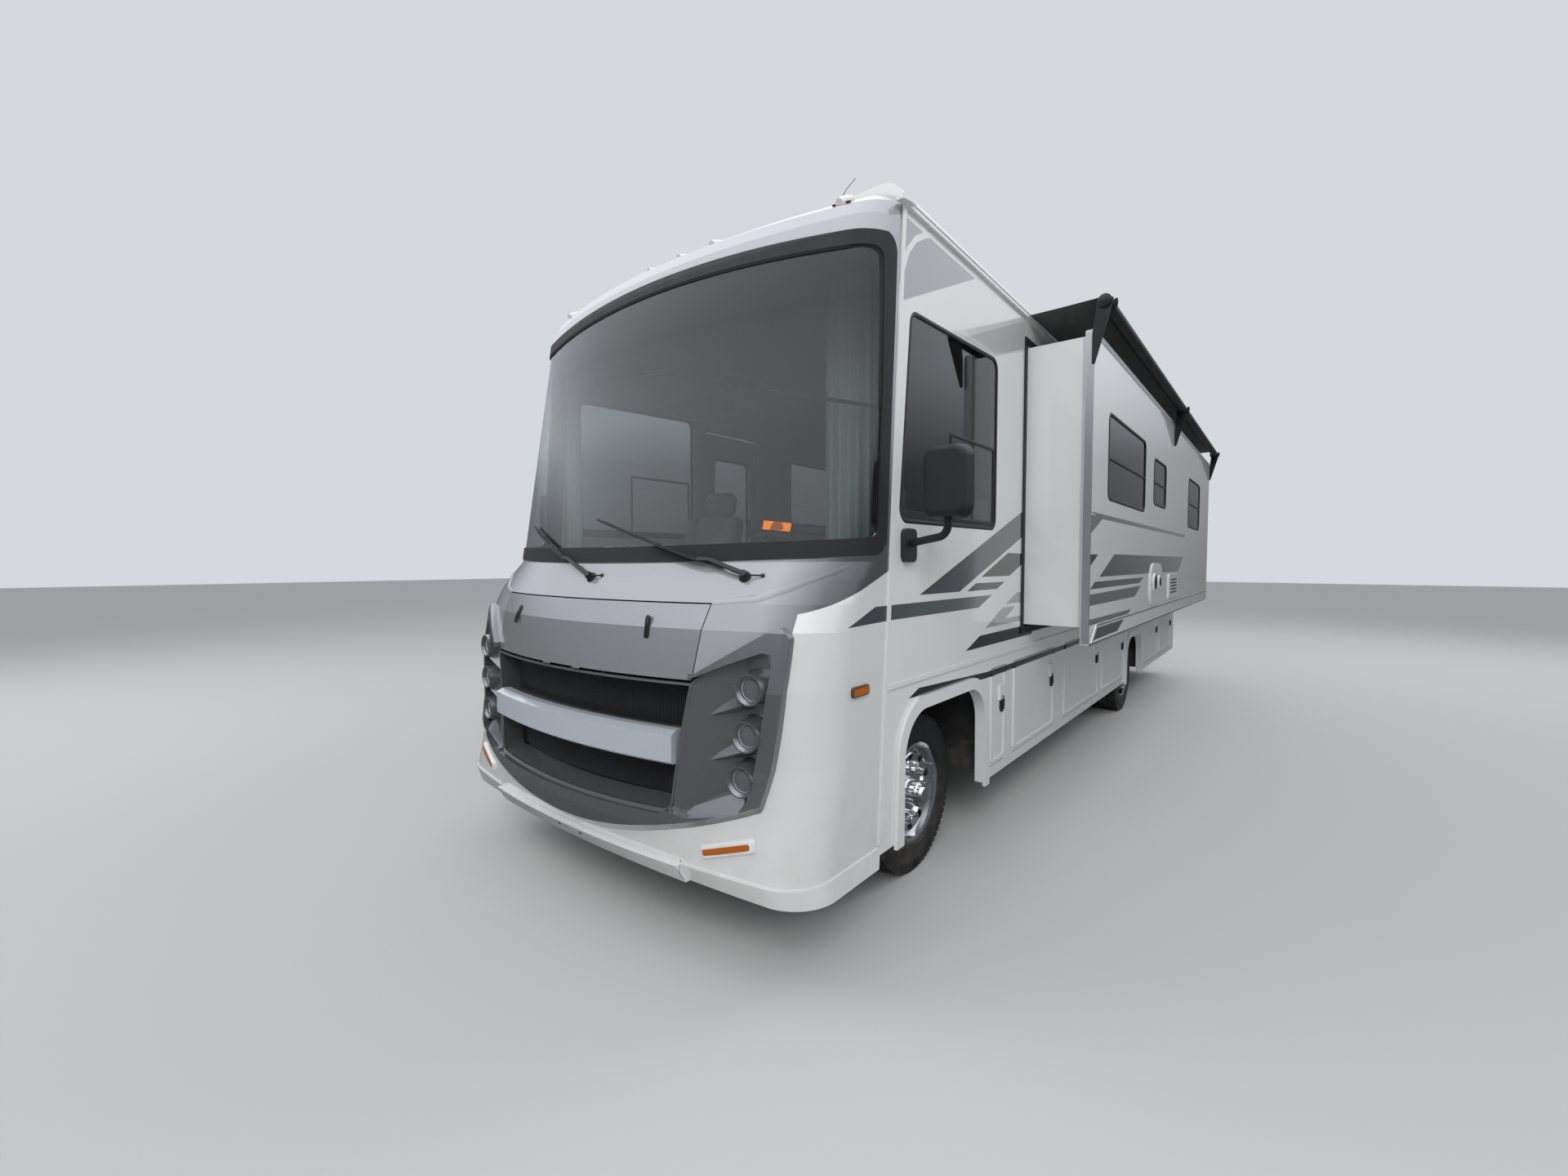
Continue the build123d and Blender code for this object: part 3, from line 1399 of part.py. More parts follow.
# Front axle: dropped beam with an eye at each end for the kingpin
beam_half_depth = 42.0
eye_radius = 45.0
eye_half = 55.0
with BuildPart() as front_axle:
    with BuildSketch(Plane.XZ.offset(beam_half_depth)):
        with BuildLine():
            Polyline(
                (-kingpin_x, axle_z + 45), (-620, axle_z + 10), (620, axle_z + 10), (kingpin_x, axle_z + 45),
                (kingpin_x, axle_z - 45), (620, axle_z - 80), (-620, axle_z - 80), (-kingpin_x, axle_z - 45),
                close=True,
            )
        make_face()
    extrude(amount=-2 * beam_half_depth)
    for side in (1, -1):
        with Locations((side * kingpin_x, 0, axle_z)):
            Cylinder(eye_radius, 2 * eye_half)
        with Locations((side * spring_x, 0, (axle_z + 10 + 450 - seat) / 2)):
            Box(spring_width, 130, 450 - seat - axle_z - 10)
save(front_axle.part, "front_axle")

# Rear axle: tube, differential, spindles and the drive shaft from the gearbox
with BuildPart() as rear_axle:
    with Locations(Location((0, wheelbase, axle_z), (0, 90, 0))):
        Cylinder(65, 1700)
        Cylinder(spindle_radius, 2110)
    with Locations((0, wheelbase, axle_z)):
        Sphere(200)
    shaft_front = Vector(0, gearbox[1] + seat, 600)
    shaft_rear = Vector(0, wheelbase - 150, axle_z + 20)
    shaft_way = shaft_rear - shaft_front
    with BuildSketch(Plane(origin=shaft_front, z_dir=shaft_way)):
        Circle(45)
    extrude(amount=shaft_way.length)
    for side in (1, -1):
        with Locations((side * spring_x, wheelbase, (axle_z + 498 - seat) / 2 + 20)):
            Box(spring_width, 130, 498 - seat - axle_z - 40)
        with Locations(Location((side * 690, wheelbase, axle_z), (0, 90, 0))):
            Cylinder(190, 12)
    with Locations((0, 500, 600)):
        Box(1000, 2 * (gearbox[1] - 500), 1000, mode=Mode.SUBTRACT)
save(rear_axle.part, "rear_axle")

# Steering knuckles: yoke round the beam's eye, spindle outwards
arm_thickness = 30.0
spindle_end = 1075.0
with BuildPart() as knuckle_left:
    for z in (axle_z + eye_half + seat + arm_thickness / 2, axle_z - eye_half - seat - arm_thickness / 2):
        with Locations((kingpin_x, 0, z)):
            Cylinder(eye_radius, arm_thickness)
        with Locations((kingpin_x + 37, 0, z)):
            Box(75, 2 * eye_radius - 4, arm_thickness)
    with Locations((kingpin_x + 62, 0, axle_z)):
        Box(26, 2 * eye_radius - 4, 2 * (eye_half + seat + arm_thickness))
    with Locations(Location(((kingpin_x + 62 + spindle_end) / 2, 0, axle_z), (0, 90, 0))):
        Cylinder(spindle_radius, spindle_end - kingpin_x - 62)
knuckle_right = mirror(knuckle_left.part, about=Plane.YZ)
save(knuckle_left.part, "knuckle_left")
save(knuckle_right, "knuckle_right")


def tyre(centre_x, axle_y):
    with BuildPart() as ring:
        with BuildSketch(Plane.XZ.offset(-axle_y)):
            with BuildLine():
                half = tyre_width / 2
                bead, base = (96, rim_radius + seat), (99, rim_radius + 24)
                wide, shoulder = (half, rim_radius + 84), (half - 14.5, tyre_radius - 17)
                turn, edge = (half - 19, tyre_radius - 7.5), (half - 30, tyre_radius - 2.5)
                for side in (1, -1):
                    place = [
                        (centre_x + side * x, axle_z + r) for x, r in (bead, base, wide, shoulder, turn, edge)
                    ]
                    Line(place[0], place[1])
                    ThreePointArc(place[1], place[2], place[3])
                    ThreePointArc(place[3], place[4], place[5])
                ThreePointArc(
                    (centre_x - edge[0], axle_z + edge[1]),
                    (centre_x, axle_z + tyre_radius),
                    (centre_x + edge[0], axle_z + edge[1]),
                )
                Line((centre_x - bead[0], axle_z + bead[1]), (centre_x + bead[0], axle_z + bead[1]))
            make_face()
        revolve(axis=Axis((0, axle_y, axle_z), (1, 0, 0)))
    return ring.part


def rim(centre_x, axle_y, side, disc):
    """Rim barrel with its disc: disc is a list of distance outwards and radius along the disc's middle."""
    barrel = [
        (-108, 252), (-108, 268), (-101, 268), (-98, rim_radius), (98, rim_radius), (101, 268),
        (108, 268), (108, 252), (102, rim_radius - 12), (-102, rim_radius - 12),
    ]
    axis = Axis((0, axle_y, axle_z), (1, 0, 0))
    with BuildPart() as form:
        with BuildSketch(Plane.XZ.offset(-axle_y)):
            Polygon(*[(centre_x + x, axle_z + r) for x, r in barrel], align=None)
            front = [(centre_x + side * x, axle_z + r) for x, r in disc]
            back = [(centre_x + side * (x - 12), axle_z + r) for x, r in reversed(disc)]
            Polygon(*(front + back), align=None)
        revolve(axis=axis)
    return form.part


def lug_covers(axle_y, side, face_x, length, radius=17.0):
    with BuildPart() as covers:
        face = Plane(origin=(side * face_x, axle_y, axle_z), x_dir=(0, side, 0), z_dir=(side, 0, 0))
        with BuildSketch(face):
            with PolarLocations(lug_circle, lug_count):
                Circle(radius)
        extrude(amount=length, taper=4)
    return covers.part


def hand_holes(axle_y, side, face_x, circle_radius):
    with BuildPart() as holes:
        face = Plane(origin=(side * face_x, axle_y, axle_z), x_dir=(0, side, 0), z_dir=(side, 0, 0))
        with BuildSketch(face):
            with PolarLocations(circle_radius, 10, start_angle=18):
                SlotOverall(46, 30, rotation=90)
        extrude(amount=-140)
    return holes.part


hub_bore = spindle_radius + seat


def hub(axle_y, side, steps):
    """Stepped hub: steps are distance from the centreline and radius, outwards; bored for its spindle."""
    with BuildPart() as body:
        with BuildSketch(Plane.XZ.offset(-axle_y)):
            outline = []
            for (start, radius), (stop, _) in zip(steps, steps[1:]):
                outline += [(side * start, axle_z + radius), (side * stop, axle_z + radius)]
            outline = [(side * steps[0][0], axle_z)] + outline + [(side * steps[-1][0], axle_z)]
            Polygon(*outline, align=None)
        revolve(axis=Axis((0, axle_y, axle_z), (1, 0, 0)))
    return body.part


def spindle_hole(axle_y, side, start, stop):
    with BuildPart() as hole:
        with BuildSketch(Plane(origin=(side * start, axle_y, axle_z), z_dir=(side, 0, 0))):
            Circle(hub_bore)
        extrude(amount=stop - start)
    return hole.part


front_disc = [(62, 236.5), (84, 205), (72, 168), (56, 160), (56, 60)]
dual_disc = [(-40, 236.5), (-92, 196), (-128, 178), (-128, 60)]
front_hub = [(938, 185), (964, 78), (1062, 68), (1120, 60), (1140, 40), (1152, 0)]
rear_hub = [(862, 92), (1020, 84), (1092, 62), (1104, 0)]
rear_spindle_end = 1055.0
for side, name in ((1, "left"), (-1, "right")):
    save(tyre(side * front_tyre_x, 0.0), f"tyre_front_{name}")
    with BuildPart() as front_wheel:
        add(rim(side * front_tyre_x, 0.0, side, front_disc))
        add(hub(0.0, side, front_hub))
        add(lug_covers(0.0, side, front_tyre_x + 56, 44))
        add(hand_holes(0.0, side, front_tyre_x + 110, 190), mode=Mode.SUBTRACT)
        add(spindle_hole(0.0, side, 900, spindle_end + seat), mode=Mode.SUBTRACT)
    save(front_wheel.part, f"wheel_front_{name}")
    with BuildPart() as tyres:
        add(tyre(side * dual_inner_x, wheelbase))
        add(tyre(side * dual_outer_x, wheelbase))
    save(tyres.part, f"tyres_rear_{name}")
    with BuildPart() as rear_wheels:
        add(rim(side * dual_outer_x, wheelbase, side, dual_disc))
        inner_disc = [(140 - (x + 140) + 12, r) for x, r in dual_disc]
        add(rim(side * dual_inner_x, wheelbase, side, inner_disc))
        add(hub(wheelbase, side, rear_hub))
        add(lug_covers(wheelbase, side, dual_outer_x - 128, 44))
        add(hand_holes(wheelbase, side, dual_outer_x + 20, 206), mode=Mode.SUBTRACT)
        add(spindle_hole(wheelbase, side, 800, rear_spindle_end + seat), mode=Mode.SUBTRACT)
    save(rear_wheels.part, f"wheels_rear_{name}")

# Dashboard, with the column and steering wheel it carries
dash_section = [(-1500, 1540), (-780, 1590), (-730, 1500), (-760, 1345), (-1500, 1345)]
wheel_tilt = 40.0
wheel_centre = (610.0, -505.0, 1620.0)
wheel_ring = 215.0
with BuildPart() as dashboard:
    with BuildSketch(Plane.YZ.offset(-1150)):
        Polygon(*dash_section, align=None)
    extrude(amount=2300)
    for x in (-800, 800):
        with Locations((x, -860, (cab_floor_top + seat + 1345) / 2)):
            Box(600, 40, 1345 - cab_floor_top - seat)
    add(front_form(70.0, low=800, high=1700), mode=Mode.INTERSECT)
    tilt = Plane(origin=wheel_centre, z_dir=(0, cos(radians(wheel_tilt)), sin(radians(wheel_tilt))))
    with BuildSketch(tilt.offset(-330)):
        Circle(32)
    extrude(amount=325)
    with BuildSketch(tilt.offset(-12)):
        Circle(75)
        Rectangle(2 * wheel_ring, 46)
        with Locations((0, -wheel_ring / 2)):
            Rectangle(46, wheel_ring)
    extrude(amount=24)
    wheel_up = (0, -sin(radians(wheel_tilt)), cos(radians(wheel_tilt)))
    with BuildSketch(Plane(origin=wheel_centre, x_dir=wheel_up, z_dir=(1, 0, 0))):
        with Locations((wheel_ring, 0)):
            Circle(16)
    revolve(axis=Axis(wheel_centre, (0, cos(radians(wheel_tilt)), sin(radians(wheel_tilt)))))
save(dashboard.part, "dashboard")

# Cab seats: pedestal, cushion, back and headrest of each
seat_x = 640.0
seat_y = -50.0
seat_width = 490.0
with BuildPart() as cab_seats:
    for side in (1, -1):
        x = side * seat_x
        with Locations((x, seat_y, (cab_floor_top + seat + 1290) / 2)):
            Box(380, 380, 1290 - cab_floor_top - seat)
        with BuildSketch(Plane.YZ.offset(x - seat_width / 2)) as seat_side:
            Polygon(
                (seat_y - 280, 1290), (seat_y + 250, 1270), (seat_y + 390, 1960), (seat_y + 400, 2140),
                (seat_y + 300, 2150), (seat_y + 270, 1960), (seat_y + 150, 1440), (seat_y - 280, 1440),
                align=None,
            )
            fillet(seat_side.vertices(), 35)
        extrude(amount=seat_width)
        for arm in (1, -1):
            arm_x = x + arm * (seat_width / 2 + 30)
            with Locations((arm_x, seat_y + 60, 1560)):
                Box(70, 360, 60)
            with Locations((arm_x, seat_y + 200, 1490)):
                Box(70, 60, 200)
save(cab_seats.part, "cab_seats")

# Curtains drawn back at both ends of the windshield
curtain_inner = 1180.0
curtain_width = half_width - wall - seat - curtain_inner
with BuildPart() as curtains:
    for side in (1, -1):
        with BuildSketch(Plane.YZ.offset(side * curtain_inner)):
            Polygon(
                (seam_at(1720) + 20, 1720), (seam_at(1720) + 150, 1720),
                (seam_at(2960) + 150, 2960), (seam_at(2960) + 20, 2960), align=None,
            )
        extrude(amount=side * curtain_width)
save(curtains.part, "curtains")
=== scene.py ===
import json
import math
import random

import bmesh
import bpy
from mathutils import Matrix, Vector
from mathutils.bvhtree import BVHTree

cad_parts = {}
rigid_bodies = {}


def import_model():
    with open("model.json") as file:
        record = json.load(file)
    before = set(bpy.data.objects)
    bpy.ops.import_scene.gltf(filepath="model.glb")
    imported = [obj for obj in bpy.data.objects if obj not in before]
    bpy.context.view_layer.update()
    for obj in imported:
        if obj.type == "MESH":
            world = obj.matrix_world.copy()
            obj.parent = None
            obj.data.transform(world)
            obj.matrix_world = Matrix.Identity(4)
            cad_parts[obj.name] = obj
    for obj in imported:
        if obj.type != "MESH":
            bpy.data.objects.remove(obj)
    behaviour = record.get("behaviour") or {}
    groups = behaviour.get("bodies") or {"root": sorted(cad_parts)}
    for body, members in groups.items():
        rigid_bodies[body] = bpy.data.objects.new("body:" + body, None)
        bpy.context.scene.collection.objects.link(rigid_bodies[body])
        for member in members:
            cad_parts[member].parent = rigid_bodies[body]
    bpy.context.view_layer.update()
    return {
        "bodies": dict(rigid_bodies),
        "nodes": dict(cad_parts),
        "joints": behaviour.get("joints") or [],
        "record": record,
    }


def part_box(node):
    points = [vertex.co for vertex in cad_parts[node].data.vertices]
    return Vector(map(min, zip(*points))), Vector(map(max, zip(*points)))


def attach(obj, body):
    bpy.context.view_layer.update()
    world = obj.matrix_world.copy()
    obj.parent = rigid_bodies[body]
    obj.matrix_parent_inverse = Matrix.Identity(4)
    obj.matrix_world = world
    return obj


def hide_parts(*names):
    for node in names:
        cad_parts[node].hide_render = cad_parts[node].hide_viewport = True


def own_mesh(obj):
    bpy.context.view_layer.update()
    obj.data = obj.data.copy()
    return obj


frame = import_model()
nodes = frame["nodes"]

# Places are written from the front axle: x from the centreline, y from that axle, z from the ground
leftTyre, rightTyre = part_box("tyre_front_left"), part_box("tyre_front_right")
origin = Vector(((leftTyre[1].x + rightTyre[0].x) / 2, (leftTyre[0].y + leftTyre[1].y) / 2, 0.0))
leftward, rearward, upward = Vector((1, 0, 0)), Vector((0, 1, 0)), Vector((0, 0, 1))
sides = (("Left", 1), ("Right", -1))
halfWidth = 1.2825
roomWall = 1.677  # x of the run-out room's outer wall
wheelHeight, rearAxle = 0.419, 4.826
print("frame loaded, front axle at", [round(v, 4) for v in origin])


# Node tools

def setSockets(tree, node, **values):
    # links or sets inputs by name; _ stands for a space, and n0 for the first input
    for key, value in values.items():
        numbered = key[0] == "n" and key[1:].isdigit()
        socket = node.inputs[int(key[1:]) if numbered else key.replace("_", " ")]
        if isinstance(value, bpy.types.NodeSocket):
            tree.links.new(value, socket)
        elif socket.type == "RGBA":
            socket.default_value = (*value[:3], 1)
        else:
            socket.default_value = value
    return node


def addNode(tree, kind, settings=None, **values):
    node = tree.nodes.new(kind)
    for key, value in (settings or {}).items():
        setattr(node, key, value)
    return setSockets(tree, node, **values)


def mathNode(tree, operation, *values):
    given = {f"n{i}": value for i, value in enumerate(values)}
    return addNode(tree, "ShaderNodeMath", {"operation": operation}, **given).outputs[0]


def mixColour(tree, factor, a, b):
    return addNode(tree, "ShaderNodeMix", {"data_type": "RGBA"}, n0=factor, n6=a, n7=b).outputs[2]


def splitVector(tree, vector):
    return addNode(tree, "ShaderNodeSeparateXYZ", Vector=vector).outputs


def joinVector(tree, x, y, z):
    return addNode(tree, "ShaderNodeCombineXYZ", X=x, Y=y, Z=z).outputs[0]


def rampNode(tree, value, low, high):
    # 0 to 1 as the value goes from low to high
    return addNode(tree, "ShaderNodeMapRange", Value=value, From_Min=low, From_Max=high).outputs[0]


def stepNode(tree, value, edge, slope):
    # soft edged step, half way up where the value reaches the edge
    return mathNode(tree, "MULTIPLY_ADD", mathNode(tree, "SUBTRACT", value, edge), slope, 0.5)


def clampNode(tree, value):
    return addNode(tree, "ShaderNodeClamp", Value=value).outputs[0]


def noiseNode(tree, vector, scale, detail=3.0, rough=0.5):
    given = {"Vector": vector, "Scale": scale, "Detail": detail, "Roughness": rough}
    return addNode(tree, "ShaderNodeTexNoise", **given).outputs["Fac"]


def vectorIn(tree):
    return tree.nodes.new("ShaderNodeTexCoord").outputs["Object"]


def axlePlace(tree):
    # object coordinates counted from the front axle
    return addNode(
        tree, "ShaderNodeVectorMath", {"operation": "SUBTRACT"}, n0=vectorIn(tree), n1=origin,
    ).outputs[0]


def blankMaterial(name, **sockets):
    material = bpy.data.materials.new(name)
    material.use_nodes = True
    tree = material.node_tree
    return material, tree, setSockets(tree, tree.nodes["Principled BSDF"], **sockets)


# Camera, lights and floor

camera = {
    "place": (2.63244, -3.03663, 1.6464), "yaw": 0.676535, "pitch": -0.0402479, "roll": 0.000977,
    "lens": 14.5255, "sensor": 36.0, "near": 0.05, "far": 200.0,
}
studio = {
    "floor": (0.56, 0.56, 0.555),
    # floor colour seen only in reflections: a painted reflection, darker than the floor itself
    "floorInReflections": (0.10, 0.10, 0.10),
    "floorHalf": 60.0,
    "backdrop": (0.66, 0.69, 0.72),
    "skyTop": (0.92, 0.95, 1.0),
    "skyLow": (0.36, 0.38, 0.40),
    "skyStrength": 0.62,
    "glossLow": (0.10, 0.105, 0.11),
    "glossTop": (2.0, 2.06, 2.16),
    "glossBands": ((0.16, (0.22, 0.23, 0.25)), (0.30, (0.78, 0.82, 0.88)), (0.5, (1.0, 1.04, 1.1))),
}
softBoxes = [  # place, target, size, power
    ((7.0, -9.0, 8.5), (0.5, -0.5, 1.4), 6.0, 780),
    ((-9.0, -6.0, 9.0), (0.0, 0.0, 1.8), 7.0, 520),
    ((6.0, 12.0, 10.0), (0.5, 4.0, 1.8), 8.0, 520),
]


def makeCamera():
    data = bpy.data.cameras.new("viewCamera")
    data.lens, data.sensor_width = camera["lens"], camera["sensor"]
    data.clip_start, data.clip_end = camera["near"], camera["far"]
    item = bpy.data.objects.new("viewCamera", data)
    yaw, pitch = camera["yaw"], camera["pitch"]
    ahead = Vector((-math.sin(yaw) * math.cos(pitch), math.cos(yaw) * math.cos(pitch), math.sin(pitch)))
    turn = ahead.to_track_quat("-Z", "Y").to_matrix().to_4x4() @ Matrix.Rotation(camera["roll"], 4, "Z")
    item.matrix_world = Matrix.Translation(Vector(camera["place"]) + origin) @ turn
    bpy.context.scene.collection.objects.link(item)
    bpy.context.scene.camera = item


def makeLights():
    bpy.context.scene.view_settings.view_transform = "Standard"
    for number, (place, target, size, power) in enumerate(softBoxes, 1):
        light = bpy.data.lights.new(f"softBox{number}", "AREA")
        light.shape, light.size, light.energy = "SQUARE", size, power
        item = bpy.data.objects.new(f"softBox{number}", light)
        item.visible_glossy = item.visible_transmission = False
        where = Vector(place) + origin
        item.location = where
        item.rotation_euler = (Vector(target) + origin - where).to_track_quat("-Z", "Y").to_euler()
        bpy.context.scene.collection.objects.link(item)


def makeSky():
    # one sky gives light, another is seen in shiny faces, and a plain backdrop is seen by the camera
    world = bpy.data.worlds.new("studioSky")
    world.use_nodes = True
    bpy.context.scene.world = world
    tree = world.node_tree
    tree.nodes.clear()
    height = splitVector(tree, tree.nodes.new("ShaderNodeTexCoord").outputs["Generated"])["Z"]
    light = mixColour(tree, rampNode(tree, height, -0.05, 0.7), studio["skyLow"], studio["skyTop"])
    sky = addNode(tree, "ShaderNodeBackground", Color=light, Strength=studio["skyStrength"])
    # shiny faces show it dark low down and bright overhead
    ramp = addNode(tree, "ShaderNodeValToRGB", Fac=rampNode(tree, height, -0.02, 1.0))
    stops = ramp.color_ramp.elements
    for stop, at, tone in ((stops[0], 0.0, studio["glossLow"]), (stops[1], 1.0, studio["glossTop"])):
        stop.position, stop.color = at, (*tone, 1)
    for at, tone in studio["glossBands"]:
        stops.new(at).color = (*tone, 1)
    shine = addNode(tree, "ShaderNodeBackground", Color=ramp.outputs["Color"])
    plain = addNode(tree, "ShaderNodeBackground", Color=studio["backdrop"])
    rays = tree.nodes.new("ShaderNodeLightPath").outputs
    seen = sky
    for ray, other in (("Is Glossy Ray", shine), ("Is Camera Ray", plain)):
        seen = addNode(
            tree, "ShaderNodeMixShader", n0=rays[ray], n1=seen.outputs[0], n2=other.outputs[0],
        )
    addNode(tree, "ShaderNodeOutputWorld", Surface=seen.outputs[0])


def makeFloor():
    mesh = bpy.data.meshes.new("studioFloor")
    half = studio["floorHalf"]
    corners = [(-half, -half, 0), (half, -half, 0), (half, half, 0), (-half, half, 0)]
    mesh.from_pydata(corners, [], [(0, 1, 2, 3)])
    ground = bpy.data.objects.new("studioFloor", mesh)
    bpy.context.scene.collection.objects.link(ground)
    material, tree, shader = blankMaterial("paleFloor", Roughness=0.85, Specular_IOR_Level=0.2)
    # painted reflection: shiny faces see the floor dark grey, while camera and diffuse rays see it pale
    mirrored = tree.nodes.new("ShaderNodeLightPath").outputs["Is Glossy Ray"]
    setSockets(tree, shader, Base_Color=mixColour(tree, mirrored, studio["floor"], studio["floorInReflections"]))
    mesh.materials.append(material)


makeCamera()
makeLights()
makeSky()
makeFloor()
print("camera, lights and floor made")


# Shader groups: each is built once and placed with its own values

def newGroup(name, gives, **takes):
    # takes a vector, and numbers and colours by their defaults; gives the outputs named, apart by spaces
    tree = bpy.data.node_groups.new(name, "ShaderNodeTree")
    tree.interface.new_socket("Vector", in_out="INPUT", socket_type="NodeSocketVector")
    for label, start in takes.items():
        kind = "NodeSocketColor" if isinstance(start, tuple) else "NodeSocketFloat"
        tree.interface.new_socket(label, in_out="INPUT", socket_type=kind).default_value = start
    for label in gives.split():
        kind = "NodeSocketColor" if label == "Colour" else "NodeSocketFloat"
        tree.interface.new_socket(label, in_out="OUTPUT", socket_type=kind)
    return tree, tree.nodes.new("NodeGroupInput").outputs, tree.nodes.new("NodeGroupOutput")


def buildDust():
    # road dust that rises from the ground and fades, broken up by noise
    tree, given, out = newGroup(
        "roadDust", "Colour Mask",
        Colour=(0.8, 0.8, 0.8, 1), Dust=(0.36, 0.32, 0.27, 1), Top=0.9, Amount=0.25,
    )
    low = rampNode(tree, splitVector(tree, given["Vector"])["Z"], given["Top"], 0.1)
    spots = rampNode(tree, noiseNode(tree, given["Vector"], 9.0, 6.0, 0.65), 0.36, 0.72)
    mask = mathNode(tree, "MULTIPLY", mathNode(tree, "MULTIPLY", low, spots), given["Amount"])
    setSockets(tree, out, Mask=mask, Colour=mixColour(tree, mask, given["Colour"], given["Dust"]))
    return tree


def buildGrain():
    # fine moulded grain: height for a bump and a little roughness change
    tree, given, out = newGroup("mouldedGrain", "Height Rough", Scale=400.0, Rough=0.5, Spread=0.1)
    cells = addNode(
        tree, "ShaderNodeTexVoronoi", {"feature": "SMOOTH_F1"},
        Vector=given["Vector"], Scale=given["Scale"],
    )
    part = mathNode(tree, "SUBTRACT", noiseNode(tree, given["Vector"], 14.0, 4.0), 0.5)
    part = mathNode(tree, "MULTIPLY_ADD", part, given["Spread"], given["Rough"])
    setSockets(tree, out, Height=cells.outputs["Distance"], Rough=part)
    return tree


def buildPaint():
    # sprayed finish: faint colour drift, orange peel height and roughness drift
    tree, given, out = newGroup(
        "sprayedFinish", "Colour Height Rough",
        Colour=(0.8, 0.8, 0.8, 1), Drift=0.04, Flake=0.0, Rough=0.2,
    )
    shade = mathNode(tree, "SUBTRACT", noiseNode(tree, given["Vector"], 1.7, 3.0), 0.5)
    shade = mathNode(tree, "MULTIPLY", shade, given["Drift"])
    flakes = addNode(tree, "ShaderNodeTexVoronoi", Vector=given["Vector"], Scale=900.0)
    glint = addNode(tree, "ShaderNodeSeparateColor", Color=flakes.outputs["Color"]).outputs[0]
    glint = mathNode(tree, "SUBTRACT", glint, 0.5)
    shade = mathNode(tree, "MULTIPLY_ADD", glint, given["Flake"], shade)
    factor = mathNode(tree, "ADD", shade, 1.0)
    scaled = addNode(
        tree, "ShaderNodeVectorMath", {"operation": "SCALE"}, n0=given["Colour"], Scale=factor,
    ).outputs[0]
    rough = mathNode(tree, "SUBTRACT", noiseNode(tree, given["Vector"], 5.0, 5.0), 0.5)
    rough = mathNode(tree, "MULTIPLY_ADD", rough, 0.1, given["Rough"])
    setSockets(tree, out, Colour=scaled, Height=noiseNode(tree, given["Vector"], 140.0, 1.0), Rough=rough)
    return tree


def buildWeave():
    # plain woven cloth from two crossed waves
    tree, given, out = newGroup(
        "plainWeave", "Colour Height", Scale=300.0, Dark=(0.2, 0.2, 0.2, 1), Light=(0.3, 0.3, 0.3, 1),
    )
    waves = [addNode(
        tree, "ShaderNodeTexWave", {"bands_direction": way},
        Vector=given["Vector"], Scale=given["Scale"], Distortion=0.6,
    ).outputs["Fac"] for way in "XZ"]
    height = mathNode(tree, "MULTIPLY", *waves)
    fade = mathNode(tree, "MULTIPLY", noiseNode(tree, given["Vector"], 3.0, 4.0), 0.5)
    tone = mathNode(tree, "MULTIPLY_ADD", height, 0.5, fade)
    setSockets(tree, out, Colour=mixColour(tree, tone, given["Dark"], given["Light"]), Height=height)
    return tree


def buildMetal():
    # cast, forged or brushed metal: stains, roughness and a pitted height
    tree, given, out = newGroup(
        "workedMetal", "Colour Height Rough",
        Colour=(0.5, 0.5, 0.5, 1), Stain=(0.25, 0.2, 0.15, 1), Amount=0.2, Scale=20.0, Rough=0.4,
    )
    marks = noiseNode(tree, given["Vector"], given["Scale"], 7.0, 0.62)
    spots = rampNode(tree, marks, 0.45, 0.75)
    mask = mathNode(tree, "MULTIPLY", spots, given["Amount"])
    rough = mathNode(tree, "MULTIPLY_ADD", spots, 0.18, given["Rough"])
    stained = mixColour(tree, mask, given["Colour"], given["Stain"])
    setSockets(tree, out, Colour=stained, Height=marks, Rough=rough)
    return tree


groups = {
    "dust": buildDust(), "grain": buildGrain(), "paint": buildPaint(), "weave": buildWeave(),
    "metal": buildMetal(),
}


def placeGroup(tree, key, **values):
    return setSockets(
        tree, addNode(tree, "ShaderNodeGroup", {"node_tree": groups[key]}), **values,
    ).outputs


def addDust(tree, shader, place, colour, top, amount):
    dirty = placeGroup(tree, "dust", Vector=place, Colour=colour, Top=top, Amount=amount)
    setSockets(tree, shader, Base_Color=dirty["Colour"])
    return dirty["Mask"]


def addBump(tree, shader, height, distance, strength=0.3):
    bump = addNode(tree, "ShaderNodeBump", Height=height, Distance=distance, Strength=strength)
    setSockets(tree, shader, Normal=bump.outputs["Normal"])


def variedColour(tree, place, colour, scale, detail, least, most):
    # drifts between a darker and a lighter share of the colour
    drift = noiseNode(tree, place, scale, detail)
    return mixColour(tree, drift, [c * least for c in colour], [min(1, c * most) for c in colour])


# Painted shapes are convex outlines: each edge gives a distance, and the least one is the mask
def patchMask(tree, place, outline, plane):
    # plane is the pair of axes that the outline's numbers lie on, such as YZ
    centre = Vector(
        (sum(p[0] for p in outline) / len(outline), sum(p[1] for p in outline) / len(outline))
    )
    least = None
    for start, stop in zip(outline, outline[1:] + outline[:1]):
        start = Vector(start)
        way = (Vector(stop) - start).normalized()
        inward = Vector((-way.y, way.x))
        if inward.dot(centre - start) < 0:
            inward = -inward
        along = dict(zip(plane, inward))
        dot = addNode(
            tree, "ShaderNodeVectorMath", {"operation": "DOT_PRODUCT"},
            n0=place, n1=[along.get(axis, 0.0) for axis in "XYZ"],
        )
        away = mathNode(tree, "SUBTRACT", dot.outputs["Value"], inward.dot(start))
        least = away if least is None else mathNode(tree, "MINIMUM", least, away)
    return mathNode(tree, "MULTIPLY_ADD", least, 700.0, 0.5)


